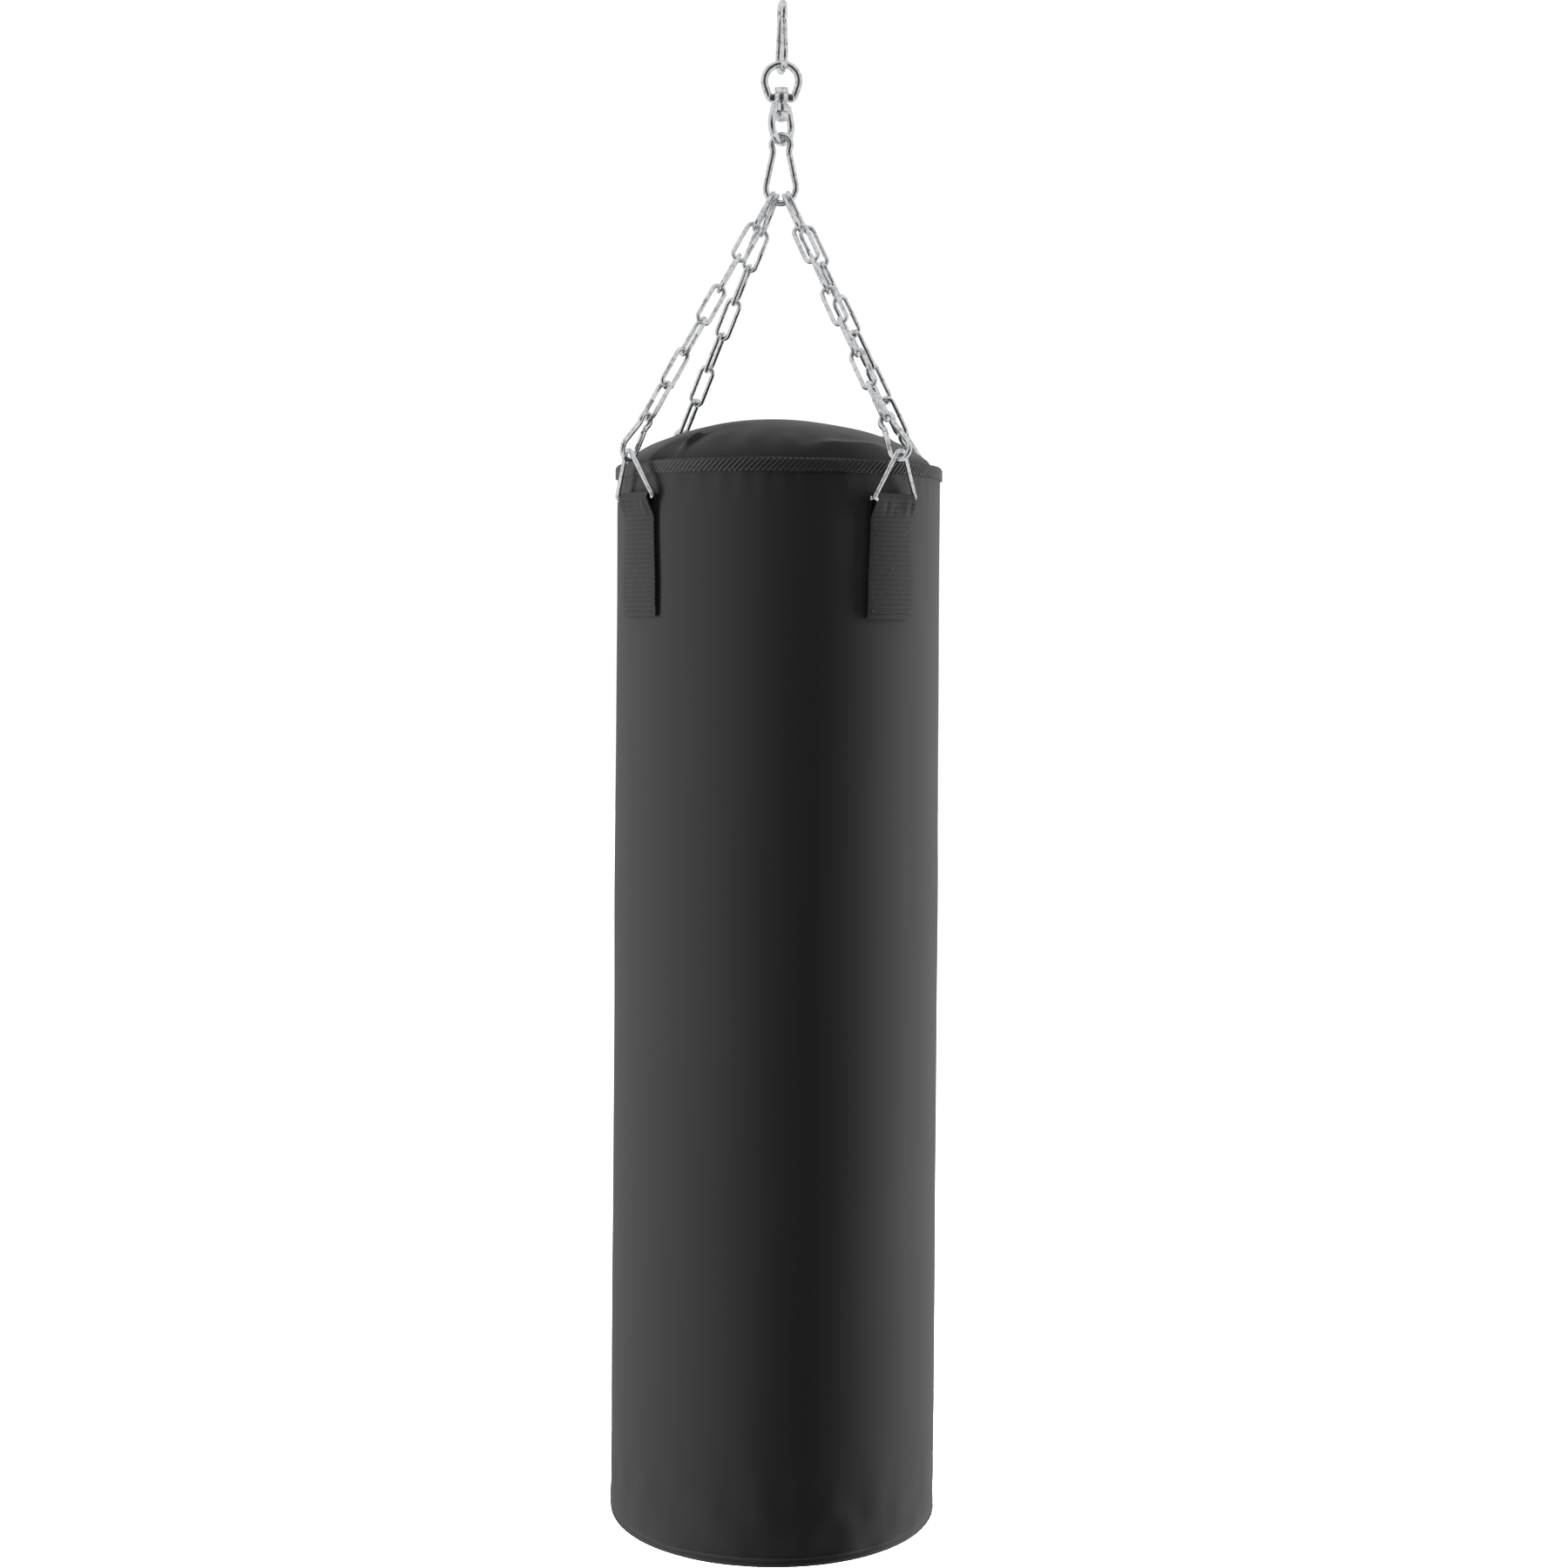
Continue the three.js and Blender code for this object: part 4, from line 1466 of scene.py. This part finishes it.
@dataclass
class Bag:
    """The filled canvas bag: tube, top cover, rim tape, base and filling."""

    dresser: Dresser
    canvas: float = 2 * MM
    tape_ply: float = 1.2 * MM
    tape_depth: float = 11.5 * MM
    tape_inside: float = 5 * MM
    fit: float = 0.3 * MM
    dome_rise: float = 45 * MM
    dome_dip: float = 1 * MM
    dome_power: float = 0.66
    base_depth: float = 11 * MM
    base_round: float = 15 * MM
    folds: tuple = DOME_FOLDS
    turn_in: float = 2.4 * MM
    seam_row: float = 4 * MM
    seam_pitch: float = 4.4 * MM
    tape_pitch: float = 3.9 * MM
    rib_pitch: float = 5 * MM  # the real ribs are 3.4 mm apart; drawn coarser so that they show
    rib_height: float = 0.75 * MM
    cord: float = 0.9 * MM

    def __post_init__(self) -> None:
        """Reads the bag's heights and radii from the frame."""
        low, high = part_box("bag_shell")
        self.seam_z = low.z
        self.rim_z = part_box("rim_tape")[1].z
        self.base_radius = high.x
        tape_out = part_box("rim_tape")[1].x
        self.rim_radius = tape_out - 3 * self.fit - self.tape_ply

    def radius(self, z: float) -> float:
        """The canvas's outer radius at a height."""
        share = (z - self.rim_z) / (self.seam_z - self.rim_z)
        return self.rim_radius + share * (self.base_radius - self.rim_radius)

    def swell(self, angle: float, z: float) -> float:
        """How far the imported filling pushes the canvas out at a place, in metres.

        Args:
            angle: the bearing, 0 at the front, in radians.
            z: the height.

        Returns:
            The step outwards.
        """
        round_x, round_y = math.sin(angle), -math.cos(angle)
        slow = noise.noise(Vector((round_x * 1.3, round_y * 1.3, z * 4.5)))
        middle = noise.noise(Vector((round_x * 3.1 + 7, round_y * 3.1, z * 9)))
        below = smooth_step(z, self.seam_z + 0.12, self.seam_z + 0.02)
        above = smooth_step(z, self.rim_z - 0.05, self.rim_z - 0.008)
        ripple = noise.noise(Vector((round_x * 6, round_y * 6, z * 34 + 3)))
        pucker = math.sin(angle * 46 + 1.4 * math.sin(angle * 5))
        packed = 0.8 * slow + 0.35 * middle
        loose_foot = 1.4 * ripple * below
        drawn_in = 0.36 * above
        gathered = 0.4 * pucker * above * (0.5 + slow)
        return MM * (packed + loose_foot - drawn_in + gathered)

    def pull(self, bm: bmesh.types.BMesh) -> None:
        """Moves a wall's outer vertices out by the swell."""
        for vert in bm.verts:
            reach = math.hypot(vert.co.x, vert.co.y)
            if reach < self.rim_radius - self.canvas / 2:
                continue
            push_out(vert, self.swell(bearing_of(vert.co), vert.co.z))

    def build(self) -> None:
        """Builds and dresses every piece of the bag."""
        self.build_shell()
        self.build_cover()
        self.build_tape()
        self.build_base()
        self.build_filling()

    def build_shell(self) -> None:
        """The canvas tube, its back seam and its stitching."""
        finishes = self.dresser.finishes
        top = self.rim_z - self.tape_ply - self.fit
        turn_in = self.turn_in
        outline = [
            (self.radius(top), top),
            (self.base_radius, self.seam_z + 2 * turn_in),
            (self.base_radius - turn_in * 0.35, self.seam_z + turn_in * 0.7),
            (self.base_radius - turn_in, self.seam_z),
            (self.base_radius - self.canvas - turn_in, self.seam_z),
            (self.radius(top) - self.canvas, top),
        ]
        bm = spun(outline, [150, 0, 0, 0, 6, 0], 288)
        self.pull(bm)
        wrap_uv(bm, self.rim_radius)
        shell = new_object(mesh_from(bm, "canvas_tube", 60), "canvas_tube")
        self.dresser.dress(shell, finishes.canvas, BAG_BODY, Slot.CANVAS, "bag_shell")
        self.build_back_seam()

    def build_back_seam(self) -> None:
        """The tube's lapped seam up its back, and its two rows of stitches."""
        finishes = self.dresser.finishes
        half, foot = 6 * MM, self.seam_z + 4 * MM
        head = self.rim_z - self.tape_depth
        rows = 240
        bm = bmesh.new()
        bmesh.ops.create_grid(bm, x_segments=10, y_segments=rows, size=0.5)
        for vert in bm.verts:
            across, height = vert.co.x * 2 * half, foot + (vert.co.y + 0.5) * (head - foot)
            angle = math.pi + across / self.rim_radius
            lap = 0.9 * MM * (1 - abs(vert.co.x * 2) ** 6)
            beside = hill(abs(across), self.seam_row, MM)
            dimple = 0.25 * MM * math.sin(height / (2.2 * MM)) * beside
            reach = self.radius(height) + self.swell(angle, height) + lap + dimple
            vert.co = outward_at(angle) * reach + Vector((0, 0, height))
        bmesh.ops.recalc_face_normals(bm, faces=bm.faces[:])
        bmesh.ops.solidify(bm, geom=bm.faces[:], thickness=0.8 * MM)
        bmesh.ops.recalc_face_normals(bm, faces=bm.faces[:])
        wrap_uv(bm, self.rim_radius)
        seam = new_object(mesh_from(bm, "back_seam", 60), "back_lapped_seam")
        self.dresser.dress(seam, finishes.canvas, BAG_BODY, Slot.CANVAS)
        points = []
        for side in (-self.seam_row, self.seam_row):
            angle = math.pi + side / self.rim_radius
            outward = outward_at(angle)
            count = round((head - foot) / self.seam_pitch)
            for index in range(count):
                z = foot + (index + 0.5) * (head - foot) / count
                reach = self.radius(z) + self.swell(angle, z) + 0.8 * MM
                points.append((outward * reach + Vector((0, 0, z)), Vector((0, 0, 1)), outward))
        rows_mesh = stitches_mesh(points, 3.2 * MM, 0.35 * MM, "back_seam_stitching")
        sewing = new_object(rows_mesh, "back_seam_stitches")
        self.dresser.dress(sewing, finishes.thread, BAG_BODY, Slot.CANVAS)

    def dome_edge(self) -> float:
        """The radius at which the top cover meets the rim."""
        return self.rim_radius - self.canvas - 3 * self.tape_ply - 4 * self.fit

    def dome_height(self, radius: float) -> float:
        """The top cover's height at a radius."""
        share = max(0.0, 1 - (radius / self.dome_edge()) ** 2)
        rise = (self.dome_rise + self.dome_dip) * share**self.dome_power
        return self.rim_z - self.dome_dip + rise

    @staticmethod
    def fold(place: Vector, start: tuple, end: tuple, width: float, height: float) -> float:
        """The height of one soft fold of cloth at a place in plan.

        Args:
            place: the place.
            start: where the fold's ridge starts, in metres.
            end: where it ends.
            width: how wide the fold is.
            height: how high its ridge is.

        Returns:
            The height, steeper on one side of the ridge.
        """
        a, b = Vector((*start, 0)), Vector((*end, 0))
        line = b - a
        along = (place - a).dot(line) / line.length_squared
        side = (place - a).cross(line.normalized()).z
        ends = smooth_step(along, -0.2, 0.25) * (1 - smooth_step(along, 0.75, 1.2))
        steep = width * (0.45 if side > 0 else 1.2)
        return height * hill(side, 0, steep) * ends

    def drape(self, place: Vector) -> float:
        """How far the top cover stands off its smooth dome at a place in plan."""
        flat = Vector((place.x, place.y, 0))
        reach = flat.length / self.dome_edge()
        angle = bearing_of(flat)
        lumps = noise.noise(Vector((flat.x * 11, flat.y * 11, 2.0)))
        small = noise.noise(Vector((flat.x * 32, flat.y * 32, 5.0)))
        gathers = math.sin(angle * 17 + 2.2 * math.sin(angle * 3))
        rim = hill(reach, 0.84, 0.12)
        height = 1.8 * MM * lumps + 0.5 * MM * small + 0.7 * MM * gathers * rim
        for start, end, width, size in self.folds:
            height += self.fold(flat, start, end, width, size)
        return height * (1 - smooth_step(reach, 0.9, 1.0))

    def build_cover(self) -> None:
        """The domed canvas cover, with the folds that the filling leaves in it."""
        edge = self.dome_edge() - self.fit
        points = [(edge * index / 30, 0.0) for index in range(31)]
        outside = [(r, self.dome_height(r)) for r, _ in points]
        hem_in = self.rim_radius - self.canvas - self.fit - self.tape_ply
        top = self.rim_z - self.tape_ply - self.fit
        foot = self.rim_z - 12 * MM
        wall_out = self.rim_radius - self.canvas - self.fit
        inside = [(r, self.dome_height(r) - self.canvas) for r, _ in points if r < 0.95 * edge]
        outline = outside + [
            (hem_in, foot + self.canvas),
            (hem_in, top),
            (wall_out, top),
            (wall_out, foot),
        ]
        outline += list(reversed(inside))
        bm = spun(outline, [0] * len(outline), 240)
        for vert in bm.verts:
            if math.hypot(vert.co.x, vert.co.y) < edge:
                vert.co.z += self.drape(vert.co)
        plan_uv(bm)
        cover = new_object(mesh_from(bm, "domed_cover", 60), "domed_top_cover")
        canvas = self.dresser.finishes.canvas
        self.dresser.dress(cover, canvas, BAG_BODY, Slot.CANVAS, "top_cover")

    def build_tape(self) -> None:
        """The ribbed tape folded over the rim, and its row of stitches."""
        finishes = self.dresser.finishes
        out = self.rim_radius + 0.1 * MM + self.tape_ply
        inner = self.rim_radius - self.canvas - 2 * self.fit - 2 * self.tape_ply
        outside, top = self.rim_z - self.tape_depth, self.rim_z
        middle = (out + inner) / 2
        outline = [
            (inner, top - self.tape_inside),
            (inner, top - 1.5 * MM),
            (inner + 1.2 * MM, top),
            (out - 2.4 * MM, top),
            (out - 0.8 * MM, top - 0.6 * MM),
            (out, top - 2.2 * MM),
            (out, outside),
            (out - self.tape_ply, outside),
            (out - self.tape_ply, top - self.tape_ply),
            (inner + self.tape_ply, top - self.tape_ply),
            (inner + self.tape_ply, top - self.tape_inside),
        ]
        bm = spun(outline, [2, 0, 2, 1, 1, 12, 0, 0, 0, 0, 0], 62 * SECTOR_STEPS)
        for vert in bm.verts:
            reach = math.hypot(vert.co.x, vert.co.y)
            angle = bearing_of(vert.co)
            drop = top - vert.co.z
            wave = noise.noise(Vector((math.sin(angle) * 5, math.cos(angle) * 5, 1.0)))
            if reach > out - 0.9 * MM or drop < 0.7 * MM:
                around = angle * self.rim_radius
                phase = 2 * math.pi * (around + drop + reach) / self.rib_pitch
                step = -self.rib_height * math.cos(phase) + 0.3 * MM * wave
                if reach > middle and drop > 1.3 * MM:
                    push_out(vert, step)
                else:
                    vert.co.z += step
            if drop > self.tape_depth - 0.2 * MM:
                vert.co.z += 0.7 * MM * wave
        layer = bm.loops.layers.uv.verify()
        wrap_uv(bm, self.rim_radius)
        for face in bm.faces:
            for loop in face.loops:
                place = loop.vert.co
                loop[layer].uv.y = place.z - top - math.hypot(place.x, place.y)
        tape = new_object(mesh_from(bm, "rim_binding", 70), "rim_binding_tape")
        self.dresser.dress(tape, finishes.tape, BAG_BODY, Slot.TAPE, "rim_tape")
        points = []
        count = round(2 * math.pi * out / self.tape_pitch)
        z = outside + 2.2 * MM
        for index in range(count):
            angle = 2 * math.pi * (index + 0.5) / count
            outward = outward_at(angle)
            way = Vector((math.cos(angle), math.sin(angle), 0.0))
            place = outward * (out + 0.15 * MM) + Vector((0, 0, z))
            points.append((place, way, outward))
        row = stitches_mesh(points, 2.9 * MM, 0.38 * MM, "rim_stitching")
        sewing = new_object(row, "rim_tape_stitches")
        self.dresser.dress(sewing, finishes.thread, BAG_BODY, Slot.TAPE)

    def build_base(self) -> None:
        """The round base, bulged by the filling, and the cord of its seam."""
        finishes = self.dresser.finishes
        top = self.seam_z - self.fit
        radius = self.base_radius
        steps = 14
        bulge = []
        for index in range(steps + 1):
            angle = math.pi / 2 * index / steps
            reach = radius - self.base_round + self.base_round * math.sin(angle)
            bulge.append((reach, top - self.base_depth * math.cos(angle)))
        flat = radius - self.base_round
        centre = [(flat * index / 8, top - self.base_depth) for index in range(8)]
        outline = centre + bulge + [(radius - 2.2 * MM, top + 0.1 * MM), (0, top)]
        bm = spun(outline, [0] * len(outline), 240)
        for vert in bm.verts:
            reach = math.hypot(vert.co.x, vert.co.y)
            inner = 1 - smooth_step(reach, 0.75 * radius, radius)
            if vert.co.z < top - MM:
                lump = noise.noise(Vector((vert.co.x * 13, vert.co.y * 13, 9.0)))
                vert.co.z += 1.6 * MM * lump * inner + 0.3 * MM * inner
            elif reach > 0.9 * radius:
                push_out(vert, self.swell(bearing_of(vert.co), self.seam_z + 3 * MM))
        plan_uv(bm)
        base = new_object(mesh_from(bm, "base_cloth", 60), "canvas_base")
        self.dresser.dress(base, finishes.canvas, BAG_BODY, Slot.CANVAS, "base_disc")
        self.build_welt()

    def build_welt(self) -> None:
        """The thin corded edge in the seam between the tube and the base."""
        finishes = self.dresser.finishes
        radius, middle = self.cord, self.base_radius - 1.5 * MM
        corners = [math.radians(45 * index) for index in range(8)]
        outline = [
            (middle + radius * math.cos(a), self.seam_z + radius * math.sin(a)) for a in corners
        ]
        bm = spun(outline, [0] * 8, 30 * SECTOR_STEPS)
        for vert in bm.verts:
            angle = bearing_of(vert.co)
            twist = 0.12 * MM * math.sin(angle * 240 + vert.co.z / MM)
            push_out(vert, self.swell(angle, self.seam_z + 3 * MM) + twist)
        bmesh.ops.recalc_face_normals(bm, faces=bm.faces[:])
        wrap_uv(bm, self.base_radius)
        welt = new_object(mesh_from(bm, "seam_cord", 80), "base_seam_cord")
        self.dresser.dress(welt, finishes.tape, BAG_BODY, Slot.TAPE, "base_welt")

    def build_filling(self) -> None:
        """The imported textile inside, which the cloth hides."""
        room = 4 * MM
        foot, top = self.seam_z + 2 * MM, self.rim_z - 16 * MM
        edge = self.dome_edge() - 8 * MM
        dome = [(edge * i / 12, self.dome_height(edge * i / 12) - 6 * MM) for i in range(12)]
        outline = [point for point in dome if point[1] > top]
        outline += [(self.radius(top) - self.canvas - room, top)]
        outline += [(self.radius(foot) - self.canvas - room, foot), (0, foot)]
        cuts = [0] * len(outline)
        cuts[-3] = 60
        bm = spun(outline, cuts, 96)
        for vert in bm.verts:
            lump = noise.noise(vert.co * 22)
            if math.hypot(vert.co.x, vert.co.y) > 0.1:
                vert.co.x *= 1 - 0.012 * abs(lump)
                vert.co.y *= 1 - 0.012 * abs(lump)
        packing = new_object(mesh_from(bm, "packed_textile", 80), "packed_textile_filling")
        finish = self.dresser.finishes.packing
        self.dresser.dress(packing, finish, BAG_BODY, Slot.FILLING, "textile_filling")


# ---------------------------------------------------------------- studio


@dataclass
class Softbox:
    """A tall soft light that looks at the bag."""

    name: str
    azimuth_deg: float
    distance: float
    height: float
    width: float
    tall: float
    power: float

    def build(self, target: Vector) -> None:
        """Adds the light.

        Args:
            target: what it looks at.
        """
        data = bpy.data.lights.new(self.name, "AREA")
        data.shape = "RECTANGLE"
        data.size, data.size_y = self.width, self.tall
        data.energy = self.power
        lamp = bpy.data.objects.new(self.name, data)
        lamp.visible_glossy = False
        turn = math.radians(self.azimuth_deg)
        way = Vector((math.sin(turn), -math.cos(turn), 0))
        lamp.location = target + way * self.distance + Vector((0, 0, self.height))
        away = lamp.location - target
        lamp.rotation_euler = away.to_track_quat("Z", "Y").to_euler()
        bpy.context.scene.collection.objects.link(lamp)


@dataclass
class Studio:
    """A white room: a pale floor, two side softboxes, a soft top light and the camera."""

    floor_drop: float = 0.35
    floor_half: float = 14.0
    dark_end: float = 0.05
    white_walls: float = 0.8
    floor_glow: float = 1.0
    background: float = 1.05
    lens_mm: float = 57.2
    shift_y: float = -0.03
    camera_at: tuple = (0.0066, -2.385, -0.588)
    tilt_deg: float = 2.5
    roll_deg: float = 0.4

    def build_floor(self, bottom: float) -> None:
        """A plain pale floor some way below the hanging bag.

        Args:
            bottom: the height of the bag's lowest point.
        """
        bm = bmesh.new()
        place = Matrix.Translation((0, 0, bottom - self.floor_drop))
        bmesh.ops.create_grid(bm, x_segments=2, y_segments=2, size=self.floor_half, matrix=place)
        floor = new_object(mesh_from(bm, "studio_floor"), "studio_floor")
        material, tree, shader = new_material("matt_white_floor_paint")
        where = add_node(tree, "TexCoord").outputs["Object"]
        patches = add_node(tree, "TexNoise", inputs={"Vector": where, "Scale": 2.0})
        colour = blend_colour(tree, patches.outputs["Fac"], "#f4f4f4", "#fafafa")
        link(tree, colour, shader, "Base Color")
        shader.inputs["Roughness"].default_value = 0.9
        shader.inputs["Emission Color"].default_value = (1, 1, 1, 1)
        shader.inputs["Emission Strength"].default_value = self.floor_glow
        floor.data.materials.append(material)
        floor.visible_diffuse = False
        floor.visible_glossy = False
        floor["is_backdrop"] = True

    def build_world(self) -> None:
        """White behind the object, and a room with white walls and a dark end behind the camera."""
        world = bpy.data.worlds.new("studio_air")
        bpy.context.scene.world = world
        world.use_nodes = True
        tree = world.node_tree
        tree.nodes.clear()
        path = add_node(tree, "LightPath").outputs["Is Camera Ray"]
        way = add_node(tree, "TexCoord").outputs["Generated"]
        depth = add_node(tree, "SeparateXYZ", inputs={0: way}).outputs["Y"]
        walls = {"Value": depth, "From Min": -0.95, "From Max": -0.62}
        walls |= {"To Min": self.dark_end, "To Max": self.white_walls}
        room = add_node(tree, "MapRange", inputs=walls).outputs["Result"]
        dim = add_node(tree, "Background", inputs={"Color": (1, 1, 1, 1), "Strength": room})
        shine = {"Color": (1, 1, 1, 1), "Strength": self.background}
        white = add_node(tree, "Background", inputs=shine)
        mixed = {0: path, 1: dim.outputs[0], 2: white.outputs[0]}
        shown = add_node(tree, "MixShader", inputs=mixed).outputs[0]
        add_node(tree, "OutputWorld", inputs={"Surface": shown})

    def build_camera(self) -> None:
        """The camera, level with the upper part of the bag and looking slightly down at it."""
        data = bpy.data.cameras.new("studio_camera")
        data.lens = self.lens_mm
        data.sensor_width = 36.0
        data.shift_y = self.shift_y
        camera = bpy.data.objects.new("studio_camera", data)
        camera.location = self.camera_at
        look = Matrix.Rotation(math.radians(90 - self.tilt_deg), 3, "X")
        roll = Matrix.Rotation(math.radians(self.roll_deg), 3, "Z")
        camera.rotation_euler = (look @ roll).to_euler()
        bpy.context.scene.collection.objects.link(camera)
        bpy.context.scene.camera = camera

    def build(self, low: Vector, high: Vector) -> None:
        """Builds the whole studio round the object's box."""
        self.build_floor(low.z)
        self.build_world()
        middle = (low + high) / 2
        boxes = [
            Softbox("left_softbox", -80, 1.9, -0.1, 0.7, 2.2, 235),
            Softbox("right_softbox", 105, 1.9, -0.1, 0.7, 2.2, 340),
            Softbox("front_fill", 8, 3.4, 0.6, 1.6, 1.2, 14),
            Softbox("overhead_softbox", 20, 0.9, 1.9, 1.0, 1.0, 14),
        ]
        for box in boxes:
            box.build(middle)
        self.build_camera()
        bpy.context.scene.view_settings.view_transform = "Standard"


# ---------------------------------------------------------------- the whole


def main() -> None:
    """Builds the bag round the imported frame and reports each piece."""
    logging.basicConfig(level=logging.INFO, format="%(name)s: %(message)s")
    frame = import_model()
    cad_low, cad_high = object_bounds()
    joints = {joint["name"]: joint for joint in frame["joints"]}
    dresser = Dresser(Finishes())
    BigHooks(dresser, joints).build()
    Swivel(dresser, joints).build()
    bag = Bag(dresser)
    bag.build()
    link_mesh = Link().mesh("chain_link")
    hook = (SMALL_HOOK.body_mesh("small_hook"), SMALL_HOOK.gate_mesh("small_gate"))
    triangle = WireTriangle().mesh("wire_triangle")
    for name, bearing, twist in (
        ("front_left", -55, -60),
        ("back_left", -139, 20),
        ("front_right", 41, 20),
        ("back_right", 125, -60),
    ):
        leg = ChainLeg(name, bearing, twist, dresser, joints, bag)
        leg.build(link_mesh, hook, triangle)
    Studio().build(cad_low, cad_high)
    LOG.info("%d pieces dressed", dresser.count)


if __name__ == "__main__":
    main()
